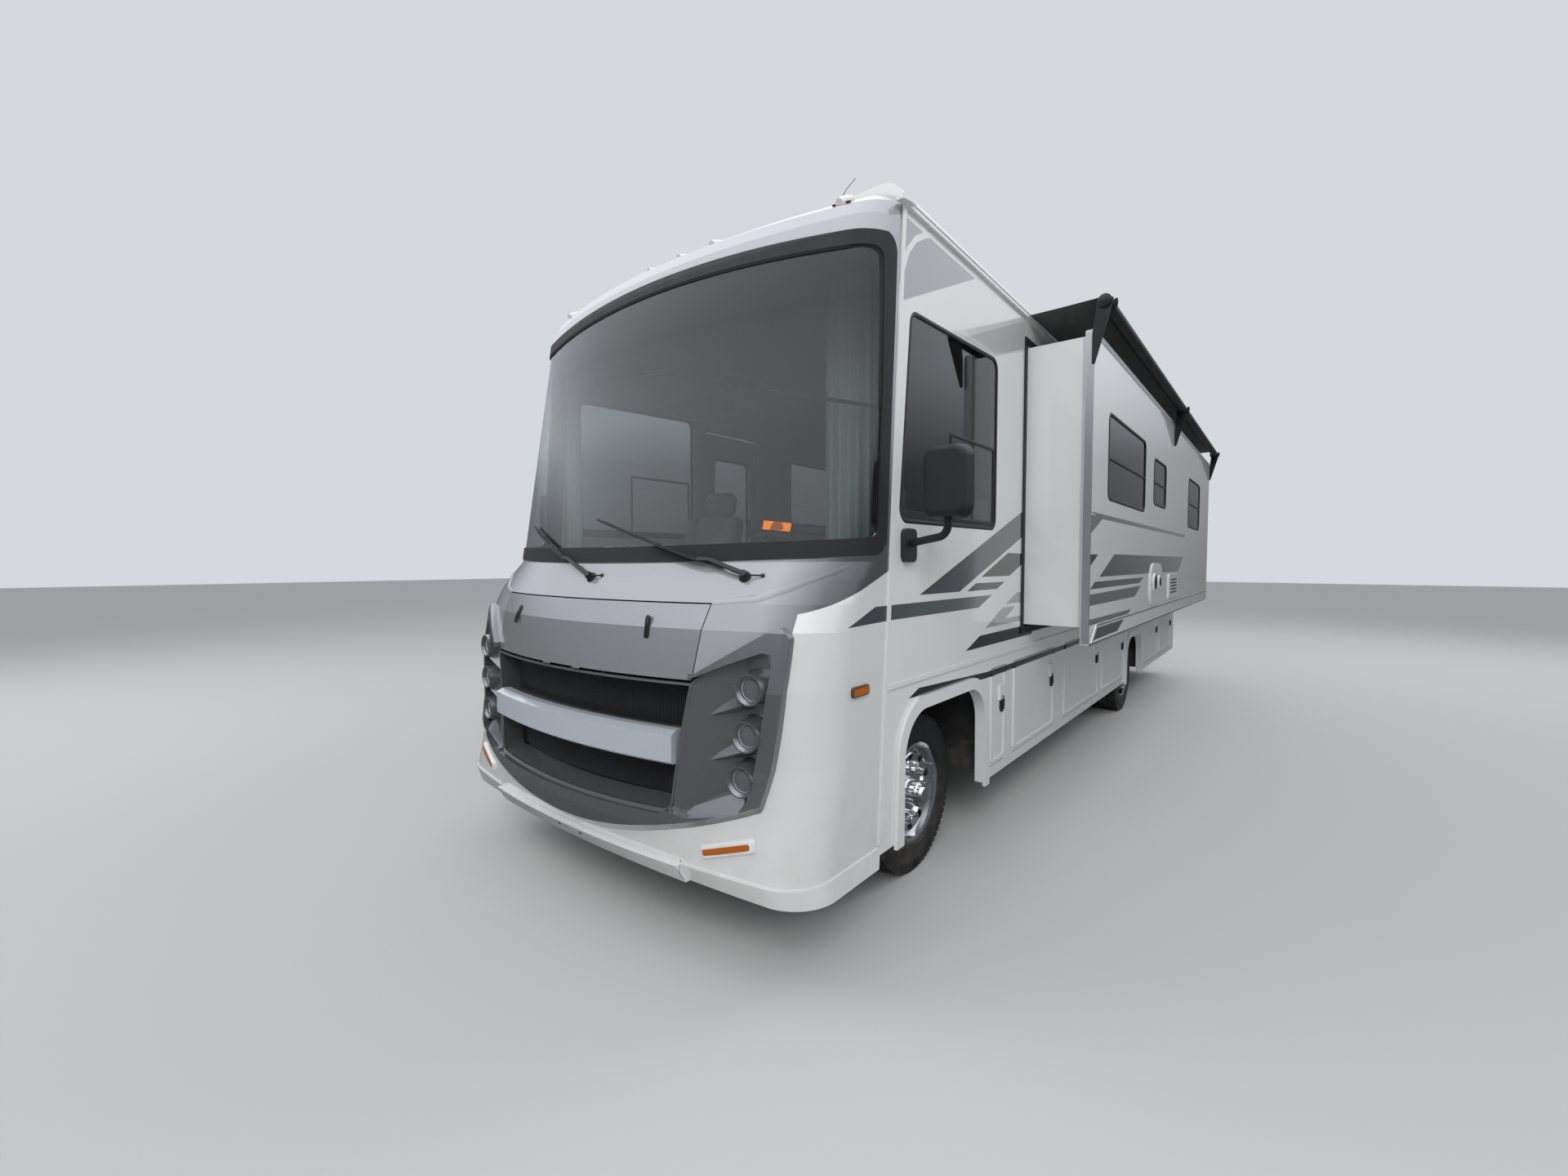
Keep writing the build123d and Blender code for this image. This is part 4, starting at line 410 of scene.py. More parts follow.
def paintPatches(tree, place, colour, patches, plane="YZ", side=None):
    # patches: outline and one or two tones, the second reached at the outline's far end
    for outline, *names in patches:
        mask = clampNode(tree, patchMask(tree, place, outline, plane))
        if side is not None:
            mask = mathNode(tree, "MULTIPLY", mask, side)
        tone = tones[names[0]]
        if len(names) > 1:
            ends = [p[0] for p in outline]
            fade = rampNode(tree, splitVector(tree, place)[plane[0]], min(ends), max(ends))
            tone = mixColour(tree, fade, tone, tones[names[1]])
        colour = mixColour(tree, mask, colour, tone)
    return colour


tones = {  # linear colours
    "white": (0.74, 0.75, 0.74),
    "silver": (0.36, 0.37, 0.385),
    "charcoal": (0.075, 0.08, 0.085),
    "fasciaGrey": (0.225, 0.232, 0.242),
    "midGrey": (0.13, 0.145, 0.15),
    "paleGrey": (0.33, 0.34, 0.35),
    "brownGrey": (0.052, 0.048, 0.046),
    "slate": (0.055, 0.066, 0.075),
    "black": (0.006, 0.006, 0.007),
    "cream": (0.58, 0.59, 0.58),
    "brow": (0.40, 0.41, 0.43),
}


def glossFinish(name, paint, rough=0.16, metal=0.0, flake=0.0, dust=0.22, coat=0.6):
    # gelcoat or metallic paint. paint is a colour, or a function of the tree and place that gives one
    material, tree, shader = blankMaterial(name, Metallic=metal, Coat_Weight=coat, Coat_Roughness=0.04)
    place = vectorIn(tree)
    colour = paint(tree, axlePlace(tree)) if callable(paint) else paint
    finish = placeGroup(tree, "paint", Vector=place, Colour=colour, Drift=0.05, Flake=flake, Rough=rough)
    dirt = addDust(tree, shader, place, finish["Colour"], 0.9, dust)
    setSockets(tree, shader, Roughness=mathNode(tree, "MULTIPLY_ADD", dirt, 0.6, finish["Rough"]))
    addBump(tree, shader, finish["Height"], 0.00006, 0.25)
    return material


def plasticFinish(
    name, colour, rough=0.5, scale=420.0, depth=0.0002, dust=0.18, dustTop=0.9, metal=0.0, tail=None,
):
    # tail is the colour behind the rear wall, for lamps of two colours in one part
    material, tree, shader = blankMaterial(name, Metallic=metal)
    place = vectorIn(tree)
    grain = placeGroup(tree, "grain", Vector=place, Scale=scale, Rough=rough, Spread=0.16)
    varied = variedColour(tree, place, colour, 6.0, 4.0, 0.8, 1.25)
    if tail:
        behind = mathNode(tree, "GREATER_THAN", splitVector(tree, axlePlace(tree))["Y"], 7.8)
        varied = mixColour(tree, behind, varied, tail)
    addDust(tree, shader, place, varied, dustTop, dust)
    setSockets(tree, shader, Roughness=grain["Rough"])
    addBump(tree, shader, grain["Height"], depth, 0.4)
    return material


def metalFinish(
    name, colour, rough=0.3, stain=(0.2, 0.17, 0.13), amount=0.15, scale=20.0, depth=0.0001, metal=1.0,
    dust=0.1,
):
    material, tree, shader = blankMaterial(name, Metallic=metal)
    place = vectorIn(tree)
    worked = placeGroup(
        tree, "metal", Vector=place, Colour=colour, Stain=stain, Amount=amount, Scale=scale, Rough=rough,
    )
    addDust(tree, shader, place, worked["Colour"], 0.8, dust)
    setSockets(tree, shader, Roughness=worked["Rough"])
    addBump(tree, shader, worked["Height"], depth, 0.3)
    return material


def glassFinish(name, clear, band=None):
    # clear or tinted glass. band gives the heights over which a darker top band comes in, and its colour
    material, tree, shader = blankMaterial(name, Transmission_Weight=1.0, IOR=1.5, Roughness=0.0)
    place = axlePlace(tree)
    colour = variedColour(tree, place, clear, 2.3, 4.0, 0.93, 1.05)
    if band:
        low, high, shade = band
        colour = mixColour(tree, rampNode(tree, splitVector(tree, place)["Z"], low, high), colour, shade)
    setSockets(tree, shader, Base_Color=colour)
    return material


def lensFinish(name, colour, cover):
    # thin clear plastic: what lies behind it is lit and seen through it
    sockets = {"Alpha": cover, "Roughness": 0.04, "Coat_Weight": 1.0, "Coat_Roughness": 0.02}
    material, tree, shader = blankMaterial(name, **sockets)
    setSockets(
        tree, shader, Base_Color=variedColour(tree, axlePlace(tree), colour, 30.0, 2.0, 0.92, 1.06),
    )
    return material


def clothFinish(name, dark, light, scale=260.0):
    material, tree, shader = blankMaterial(name, Roughness=0.85, Sheen_Weight=0.25)
    weave = placeGroup(tree, "weave", Vector=vectorIn(tree), Scale=scale, Dark=dark, Light=light)
    setSockets(tree, shader, Base_Color=weave["Colour"])
    addBump(tree, shader, weave["Height"], 0.0005, 0.5)
    return material


# Graphics on the driver's side wall, skirt and run out room: y and z of each corner
wallPatches = [
    ([(-0.348, 1.496), (1.003, 1.950), (1.30, 2.047), (1.30, 1.885), (0.108, 1.495)], "slate", "midGrey"),
    ([(0.402, 1.567), (0.818, 1.706), (1.30, 1.706), (0.848, 1.566)], "brownGrey"),
    ([(0.205, 1.493), (0.329, 1.534), (0.771, 1.532), (0.644, 1.493)], "slate"),
    ([(-0.80, 1.397), (-0.80, 1.4625), (0.566, 1.461), (0.368, 1.397)], "slate", "midGrey"),
    ([(0.791, 1.396), (0.988, 1.460), (1.30, 1.460), (1.30, 1.391)], "paleGrey"),
    ([(0.472, 1.275), (0.739, 1.377), (0.966, 1.376), (0.70, 1.275)], "paleGrey"),
    ([(0.472, 1.275), (0.56, 1.309), (1.30, 1.309), (1.30, 1.275)], "paleGrey"),
    ([(0.193, 1.173), (0.393, 1.239), (1.30, 1.239), (1.30, 1.171)], "black"),
    ([(-0.446, 1.026), (-0.345, 1.060), (0.50, 1.021), (0.50, 0.985)], "black"),
    ([(0.497, 0.985), (0.497, 1.021), (7.60, 1.013), (7.60, 0.978)], "black"),
    ([(-0.62, 2.745), (0.255, 3.147), (0.33, 3.21), (-0.62, 3.21)], "paleGrey"),
    ([(0.123, 2.806), (0.559, 2.820), (1.06, 2.975), (1.06, 3.165)], "cream"),
]
roomPatches = [
    ([(1.05, 1.957), (5.50, 1.960), (5.30, 1.930), (1.42, 1.926)], "midGrey", "silver"),
    ([(1.05, 1.940), (1.45, 1.940), (1.135, 1.830), (1.05, 1.800)], "midGrey"),
    ([(1.05, 1.698), (1.317, 1.699), (1.151, 1.638), (1.05, 1.603)], "black"),
    ([(1.359, 1.557), (1.781, 1.706), (5.30, 1.712), (4.90, 1.556)], "slate", "paleGrey"),
    ([(1.12, 1.484), (1.24, 1.528), (2.90, 1.528), (2.72, 1.484)], "slate", "midGrey"),
    ([(1.05, 1.383), (1.05, 1.452), (2.785, 1.462), (2.526, 1.383)], "midGrey"),
    ([(1.05, 1.262), (1.05, 1.300), (2.396, 1.293), (2.292, 1.262)], "midGrey"),
    ([(1.230, 1.163), (1.331, 1.235), (2.139, 1.234), (1.927, 1.165)], "black"),
]
capPatches = [([(-0.953, 1.389), (-0.747, 1.462), (-0.58, 1.4625), (-0.58, 1.3975)], "slate")]
shelfPatches = [([(-0.80, 0.893), (0.80, 0.893), (0.80, 0.950), (-0.80, 0.950)], "fasciaGrey")]


def whiteWithPatches(patches, beyond=None):
    # beyond keeps the shapes to the skin outside that distance from the centreline
    def colour(tree, place):
        side = None
        if beyond is not None:
            side = mathNode(tree, "GREATER_THAN", splitVector(tree, place)["X"], beyond)
        return paintPatches(tree, place, tones["white"], patches, side=side)
    return colour


def capColours(tree, place):
    # white cap with a silver brow and cowl, and a dark sweep up each side of the windshield
    split = splitVector(tree, place)
    across = mathNode(tree, "ABSOLUTE", split["X"])
    # silver below the windshield, above a line that rises to the rear
    line = mathNode(tree, "MULTIPLY_ADD", split["Y"], -0.35, split["Z"])
    above = stepNode(tree, line, 1.834, 500.0)
    inside = stepNode(tree, 1.151, across, 700.0)
    low = stepNode(tree, split["Z"], 1.19, 700.0)
    mask = clampNode(tree, mathNode(tree, "MAXIMUM", above, mathNode(tree, "MINIMUM", inside, low)))
    # the silver darkens towards the sides and clears again up the pillar
    shade = rampNode(tree, across, 1.02, 1.215)
    rise = mathNode(tree, "MULTIPLY", rampNode(tree, split["Z"], 2.42, 1.92), shade)
    pillar = mixColour(tree, rise, tones["silver"], tones["charcoal"])
    pale = mathNode(tree, "MULTIPLY", rampNode(tree, split["Z"], 1.95, 2.6), 0.5)
    pillar = mixColour(tree, pale, pillar, tones["brow"])
    colour = mixColour(tree, mask, tones["white"], pillar)
    return paintPatches(tree, joinVector(tree, across, split["Y"], split["Z"]), colour, capPatches)


def hoodSilverAndGapShade(tree, place):
    # silver, with the lower part of the two hinge eyes, down in the gap under the panel's lower edge,
    # painted black as painted shade
    split = splitVector(tree, place)
    across = mathNode(tree, "SUBTRACT", mathNode(tree, "ABSOLUTE", split["X"]), 0.12)
    near = mathNode(tree, "LESS_THAN", mathNode(tree, "ABSOLUTE", across), 0.0305)
    low = mathNode(tree, "LESS_THAN", split["Z"], 1.1745)
    return mixColour(tree, mathNode(tree, "MULTIPLY", near, low), tones["silver"], tones["black"])


def grilleShadeAndShelf(tree, place):
    # painted shade: the plate behind the wires is near black, standing in for the shaded depth behind the
    # open mesh; the shelf between the upper and lower mesh is grey
    return paintPatches(tree, place, (0.003, 0.003, 0.003), shelfPatches, plane="XZ")


finishes = {material.name: material for material in (
    glossFinish("whiteGelcoat", tones["white"]),
    glossFinish("wallGelcoat", whiteWithPatches(wallPatches)),
    glossFinish("rightGelcoat", whiteWithPatches(wallPatches + roomPatches)),
    glossFinish("roomGelcoat", whiteWithPatches(roomPatches, beyond=1.672), rough=0.1),
    glossFinish("capGelcoat", capColours, rough=0.15, flake=0.05, metal=0.12),
    # silver hood paint, with painted shade on the hinge eyes in the gap under the hood
    glossFinish("silverPaint", hoodSilverAndGapShade, rough=0.24, metal=0.55, flake=0.25, coat=1.0),
    glossFinish(
        "charcoalPaint", tones["fasciaGrey"], rough=0.27, metal=0.72, flake=0.15, dust=0.04, coat=0.9,
    ),
    plasticFinish("blackPlastic", (0.012, 0.012, 0.013), rough=0.46),
    plasticFinish("wireBlack", (0.075, 0.075, 0.078), rough=0.32, scale=900.0, dust=0.0, metal=0.5),
    plasticFinish("softBlack", (0.022, 0.022, 0.024), rough=0.7, scale=900.0),
    plasticFinish("mirrorBlack", (0.017, 0.017, 0.019), rough=0.5, scale=900.0),
    metalFinish(
        "brightTrim", (0.70, 0.75, 0.82), rough=0.10, amount=0.04, scale=40.0, depth=0.00001, metal=0.45,
        dust=0.05,
    ),
    metalFinish(
        "lampSilver", (0.95, 0.96, 0.98), rough=0.07, amount=0.0, scale=40.0, depth=0.00001, metal=0.4,
        dust=0.0,
    ),
    # plate behind the grille wires: near black painted shade, with a grey shelf
    glossFinish("grilleShadeBlack", grilleShadeAndShelf, rough=0.5, coat=0.0, dust=0.0),
    metalFinish(
        "chrome", (0.86, 0.87, 0.88), rough=0.05, amount=0.05, scale=40.0, depth=0.00001, dust=0.12,
    ),
    metalFinish(
        "aluminium", (0.66, 0.67, 0.68), rough=0.34, amount=0.08, scale=60.0, depth=0.00003, dust=0.05,
    ),
    metalFinish(
        "castIron", (0.13, 0.12, 0.115), rough=0.6, stain=(0.16, 0.09, 0.05), amount=0.5, scale=18.0,
        depth=0.0006, metal=0.7, dust=0.4,
    ),
    metalFinish(
        "frameBlack", (0.03, 0.03, 0.032), rough=0.5, stain=(0.12, 0.09, 0.06), amount=0.35, scale=11.0,
        depth=0.0003, metal=0.0, dust=0.4,
    ),
    plasticFinish("rubber", (0.016, 0.016, 0.017), rough=0.62, scale=250.0),
    plasticFinish("tyreRubber", (0.011, 0.011, 0.012), rough=0.72, scale=160.0, dust=0.17, dustTop=0.75),
    glassFinish("windshieldGlass", (0.86, 0.93, 0.91), band=(2.35, 2.75, (0.30, 0.30, 0.33))),
    glassFinish("tintedGlass", (0.31, 0.31, 0.32)),
    lensFinish("lensClear", (0.60, 0.64, 0.68), 0.05),
    plasticFinish(
        "amberLens", (0.42, 0.105, 0.010), rough=0.16, scale=120.0, depth=0.0006, dust=0.05,
        tail=(0.20, 0.006, 0.006),
    ),
    clothFinish("topperCloth", (0.012, 0.012, 0.013), (0.035, 0.035, 0.037)),
    clothFinish("curtainCloth", (0.34, 0.35, 0.34), (0.52, 0.54, 0.52), scale=180.0),
    plasticFinish("seatLeather", (0.26, 0.22, 0.18), rough=0.5, scale=320.0, depth=0.0005, dust=0.0),
    plasticFinish("redLens", (0.30, 0.006, 0.006), rough=0.12, scale=120.0, depth=0.0006, dust=0.05),
    plasticFinish("clearPlastic", (0.72, 0.73, 0.74), rough=0.1, scale=120.0, depth=0.0006, dust=0.05),
    plasticFinish("orangeLabel", (0.75, 0.23, 0.05), rough=0.4, dust=0.0),
    plasticFinish("cabinFloor", (0.10, 0.10, 0.10), rough=0.7, scale=60.0, depth=0.001, dust=0.5),
)}

finishNodes = {  # every other node is whiteGelcoat, apart from the baggage doors, which are wallGelcoat
    "aluminium": "awning rear_ladder",
    "frameBlack": "baggage_bays chassis_frame",
    "rubber": "body_seals",
    "seatLeather": "cab_seats",
    "curtainCloth": "curtains",
    "softBlack": "dashboard wheel_wells",
    "castIron": "engine_block front_axle knuckle_left knuckle_right leaf_springs rear_axle",
    "rightGelcoat": "entry_door right_side",
    "tintedGlass": "entry_door_window side_windows slide_windows",
    "cabinFloor": "floor",
    "capGelcoat": "front_cap",
    "brightTrim": "grille_bar",
    "grilleShadeBlack": "grille_mesh",
    "lensClear": "headlamps",
    "silverPaint": "hood_panel",
    "charcoalPaint": "lamp_fascia",
    "wallGelcoat": "left_side",
    "mirrorBlack": "mirrors",
    "roomGelcoat": "slide_room",
    "amberLens": "small_lamps",
    "topperCloth": "topper_fabric",
    "blackPlastic": "topper_roller wipers",
    "windshieldGlass": "windshield",
    "tyreRubber": "tyre_front_left tyre_front_right tyres_rear_left tyres_rear_right",
    "chrome": "wheel_front_left wheel_front_right wheels_rear_left wheels_rear_right",
}
nodeFinish = {node: finish for finish, names in finishNodes.items() for node in names.split()}
for name, item in nodes.items():
    key = nodeFinish.get(name, "wallGelcoat" if name.startswith("baggage_door") else "whiteGelcoat")
    item.data.materials.clear()
    item.data.materials.append(finishes[key])
print("finishes made and put on the solids")


# Mesh tools

def place(x, y, z):
    return Vector((x, y, z)) + origin


def linkMesh(name, data, finish=None):
    # puts a mesh in the scene at the origin, with a finish
    item = bpy.data.objects.new(name, data)
    bpy.context.scene.collection.objects.link(item)
    if finish:
        data.materials.clear()
        data.materials.append(finishes[finish])
    return item


def toData(name, mesh):
    data = bpy.data.meshes.new(name)
    mesh.to_mesh(data)
    mesh.free()
    return data


def makeSmooth(data):
    data.polygons.foreach_set("use_smooth", [True] * len(data.polygons))


def addPiece(name, mesh, finish, body="body", angle=38.0):
    # links a bmesh as a piece, with a finish, and sets it on a body. edges above the angle stay sharp
    bmesh.ops.recalc_face_normals(mesh, faces=mesh.faces)
    data = toData(name, mesh)
    item = linkMesh(name, data, finish)
    makeSmooth(data)
    data.set_sharp_from_angle(angle=math.radians(angle))
    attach(item, body)
    return item


def addSheet(name, rows, finish, faceUp=False):
    # one layer of cloth through rows of points
    mesh = bmesh.new()
    grid = [[mesh.verts.new(point) for point in row] for row in rows]
    for one, two in zip(grid, grid[1:]):
        for j in range(len(one) - 1):
            mesh.faces.new((one[j], one[j + 1], two[j + 1], two[j]))
    for face in mesh.faces if faceUp else ():
        face.normal_update()
        if face.normal.z < 0:
            face.normal_flip()
    data = toData(name, mesh)
    item = linkMesh(name, data, finish)
    makeSmooth(data)
    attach(item, "body")
    return item


def addRings(mesh, rings, closedAlong=False, caps=True):
    # skin between rings of points, each ring of the same length
    made = [[mesh.verts.new(point) for point in ring] for ring in rings]
    count = len(rings[0])
    pairs = list(zip(made, made[1:])) + ([(made[-1], made[0])] if closedAlong else [])
    for one, two in pairs:
        for i in range(count):
            j = (i + 1) % count
            mesh.faces.new((one[i], one[j], two[j], two[i]))
    if caps and not closedAlong:
        mesh.faces.new(reversed(made[0]))
        mesh.faces.new(made[-1])


def sweepFrames(points, up=None):
    # frames along a path: place, side and up at each point
    frames = []
    last = None
    for i, point in enumerate(points):
        way = (points[min(i + 1, len(points) - 1)] - points[max(i - 1, 0)]).normalized()
        guide = up if up is not None else (last if last is not None else upward)
        if abs(way.dot(guide.normalized())) > 0.98:
            guide = rearward if abs(way.y) < 0.9 else leftward
        side = way.cross(guide).normalized()
        lift = side.cross(way).normalized()
        last = lift
        frames.append((point, side, lift))
    return frames


def addSweep(mesh, points, profile, up=None):
    # profile: across and up of each corner
    addRings(mesh, [
        [at + side * u + lift * v for u, v in profile] for at, side, lift in sweepFrames(points, up)
    ])


def barSection(half, low, topHalf, top):
    # section with a flat foot and top
    return [(-half, low), (half, low), (topHalf, top), (-topHalf, top)]


def circle(radius, count=12):
    turns = [math.tau * i / count for i in range(count)]
    return [(radius * math.cos(turn), radius * math.sin(turn)) for turn in turns]


def roundedBox(width, height, radius, steps=3):
    # corners of a rounded rectangle about its middle
    points = []
    for cx, cy, start in ((1, 1, 0), (-1, 1, 90), (-1, -1, 180), (1, -1, 270)):
        for i in range(steps + 1):
            turn = math.radians(start + 90 * i / steps)
            x, y = cx * (width / 2 - radius), cy * (height / 2 - radius)
            points.append((x + radius * math.cos(turn), y + radius * math.sin(turn)))
    return points


def addBox(mesh, corner, opposite, edge=0.002):
    # box with small chamfers, as a skin of inset rings along z
    (x0, x1), (y0, y1), (z0, z1) = (sorted(pair) for pair in zip(corner, opposite))
    edge = min(edge, (x1 - x0) / 3, (y1 - y0) / 3, (z1 - z0) / 3)
    outline = roundedBox(x1 - x0, y1 - y0, edge, 1)
    inner = roundedBox(x1 - x0 - 2 * edge, y1 - y0 - 2 * edge, edge * 0.3, 1)
    mid = ((x0 + x1) / 2, (y0 + y1) / 2)
    addRings(mesh, [
        [place(mid[0] + u, mid[1] + v, z) for u, v in shape]
        for z, shape in ((z0, inner), (z0 + edge, outline), (z1 - edge, outline), (z1, inner))
    ])


def addLathe(mesh, profile, centre, axis, count=24):
    # profile: radius and distance along the axis
    axis = Vector(axis).normalized()
    guide = upward if abs(axis.z) < 0.9 else leftward
    side = axis.cross(guide).normalized()
    lift = side.cross(axis)
    addRings(mesh, [
        [centre + axis * along + side * u + lift * v for u, v in circle(max(radius, 0.0002), count)]
        for radius, along in profile
    ])


def skinOf(*names):
    # search tree over the surfaces of CAD nodes
    points, faces = [], []
    for name in names:
        data = nodes[name].data
        base = len(points)
        matrix = nodes[name].matrix_world
        points += [matrix @ vertex.co for vertex in data.vertices]
        faces += [[base + i for i in polygon.vertices] for polygon in data.polygons]
    return BVHTree.FromPolygons(points, faces)


def hitFront(tree, x, z):
    # where a line along +Y through x and z first meets the skin, with its normal
    spot, normal = tree.ray_cast(place(x, -3.0, z), rearward)[:2]
    if spot is not None and normal.y > 0:
        normal = -normal
    return spot, normal


def hitTop(tree, x, y):
    # the same from above
    return tree.ray_cast(place(x, y, 4.0), -upward)[:2]


# Front: hood latches, grille, lamps, wipers, seals

frontSkin = skinOf("front_cap", "hood_panel", "lamp_fascia", "front_bumper")
capSkin = skinOf("front_cap", "hood_panel", "body_seals", "windshield")
hoodSkin = skinOf("hood_panel")


def makeHoodLatches():
    latch = {"across": 0.522, "height": 1.376, "width": 0.024, "length": 0.098, "proud": 0.009}
    for name, side in sides:
        mesh = bmesh.new()
        spot, normal = hitFront(hoodSkin, side * latch["across"], latch["height"])
        across = upward.cross(normal).normalized()
        rise = normal.cross(across).normalized()
        rings = []
        for share, size in ((0.0, 1.0), (0.55, 1.0), (1.0, 0.72)):
            shape = roundedBox(latch["width"] * size, latch["length"] * (0.5 + size / 2), 0.011 * size, 4)
            at = spot + normal * (latch["proud"] * share)
            rings.append([at + across * u + rise * v for u, v in shape])
        addRings(mesh, rings)
        ridge = [spot + normal * latch["proud"] + rise * v for v in (-0.03, 0.012)]
        addSweep(mesh, ridge, barSection(0.004, -0.001, 0.003, 0.004), up=normal)
        addPiece(f"hoodLatch{name}", mesh, "blackPlastic", "hood")


def newRepeat(name, **numbers):
    # geometry tree that takes a shape, numbers by their defaults and a material
    tree = bpy.data.node_groups.new(name, "GeometryNodeTree")
    tree.interface.new_socket("Geometry", in_out="OUTPUT", socket_type="NodeSocketGeometry")
    for key, start in {"Geometry": None, **numbers, "Material": None}.items():
        kind = {float: "Float", int: "Int"}.get(type(start), key)
        socket = tree.interface.new_socket(
            key.replace("_", " "), in_out="INPUT", socket_type=f"NodeSocket{kind}",
        )
        if start is not None:
            socket.default_value = start
    return tree, tree.nodes.new("NodeGroupInput").outputs


def endRepeat(tree, given, copies):
    # makes the copies real and gives them the material
    real = addNode(tree, "GeometryNodeRealizeInstances", Geometry=copies).outputs[0]
    named = addNode(tree, "GeometryNodeSetMaterial", Geometry=real, Material=given["Material"])
    addNode(tree, "NodeGroupOutput", Geometry=named.outputs[0])
    return tree


def standOn(tree, points, shape, **turned):
    return addNode(
        tree, "GeometryNodeInstanceOnPoints", Points=points, Instance=shape, **turned,
    ).outputs[0]


def meshNodes():
    # grille mesh: upright wires stood along an arc, and level wires bent to it, at a set pitch
    tree, given = newRepeat("wireMesh", Level_Pitch=0.012, Upright_Pitch=0.012, Height=0.5, Wire=0.0011)
    arc = addNode(tree, "GeometryNodeMeshToCurve", Mesh=given["Geometry"]).outputs[0]
    spaced = addNode(
        tree, "GeometryNodeCurveToPoints", {"mode": "LENGTH"}, Curve=arc, Length=given["Upright Pitch"],
    ).outputs[0]
    wide = mathNode(tree, "MULTIPLY", given["Wire"], 2.0)
    size = joinVector(tree, wide, wide, given["Height"])
    upright = addNode(tree, "GeometryNodeMeshCube", Size=size).outputs[0]
    section = addNode(
        tree, "GeometryNodeCurvePrimitiveCircle", {"mode": "RADIUS"}, Resolution=3, Radius=given["Wire"],
    ).outputs[0]
    bent = addNode(tree, "GeometryNodeCurveToMesh", Curve=arc, Profile_Curve=section).outputs[0]
    count = mathNode(tree, "FLOOR", mathNode(tree, "DIVIDE", given["Height"], given["Level Pitch"]))
    step = joinVector(tree, 0.0, 0.0, given["Level Pitch"])
    foot = joinVector(tree, 0.0, 0.0, mathNode(tree, "MULTIPLY", given["Height"], -0.5))
    ladder = addNode(
        tree, "GeometryNodeMeshLine", Count=count, Start_Location=foot, Offset=step,
    ).outputs[0]
    join = tree.nodes.new("GeometryNodeJoinGeometry")
    for copies in (standOn(tree, spaced, upright), standOn(tree, ladder, bent)):
        tree.links.new(copies, join.inputs[0])
    return endRepeat(tree, given, join.outputs[0])


def applyNodes(points, edges, tree, values, name, body, finish):
    # runs a node tree on points and edges and keeps only the mesh that it gives
    data = bpy.data.meshes.new(f"{name}Seed")
    data.from_pydata(points, edges, [])
    source = linkMesh(f"{name}Seed", data)
    modifier = source.modifiers.new("repeat", "NODES")
    modifier.node_group = tree
    values["Material"] = finishes[finish]
    for entry in tree.interface.items_tree:
        if entry.item_type == "SOCKET" and entry.in_out == "INPUT" and entry.name in values:
            modifier[entry.identifier] = values[entry.name]
    source.update_tag()
    bpy.context.view_layer.update()
    evaluated = source.evaluated_get(bpy.context.evaluated_depsgraph_get())
    data = bpy.data.meshes.new_from_object(evaluated)
    data.name = name
    source.modifiers.clear()
    bpy.data.objects.remove(source)
    item = linkMesh(name, data, finish)
    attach(item, body)
    return item


def makeGrilleMesh():
    opening = {
        "half": 0.742, "low": 0.664, "top": 1.150, "pitch": 0.0105, "wire": 0.0010, "ahead": 0.004,
        "steps": 60,
    }
    middle = (opening["low"] + opening["top"]) / 2
    meshSkin = skinOf("grille_mesh")
    points = []
    for i in range(opening["steps"] + 1):
        x = opening["half"] * (2 * i / opening["steps"] - 1)
        spot = hitFront(meshSkin, x, 0.98)[0]
        if spot is not None:
            points.append(Vector((spot.x, spot.y - opening["ahead"], middle)))
    applyNodes(points, [(i, i + 1) for i in range(len(points) - 1)], meshNodes(), {
        "Level Pitch": opening["pitch"], "Upright Pitch": opening["pitch"],
        "Height": opening["top"] - opening["low"], "Wire": opening["wire"],
    }, "grilleWires", "body", "wireBlack")


def lampFrames():
    # centre and axis of each headlamp, the left row and its mirror image
    yaw = math.radians(6.0)
    for side in (1, -1):
        for x, y, z in ((1.030, -1.262, 1.160), (1.017, -1.266, 0.978), (0.994, -1.272, 0.800)):
            yield place(side * x, y, z), Vector((side * math.sin(yaw), -math.cos(yaw), 0))


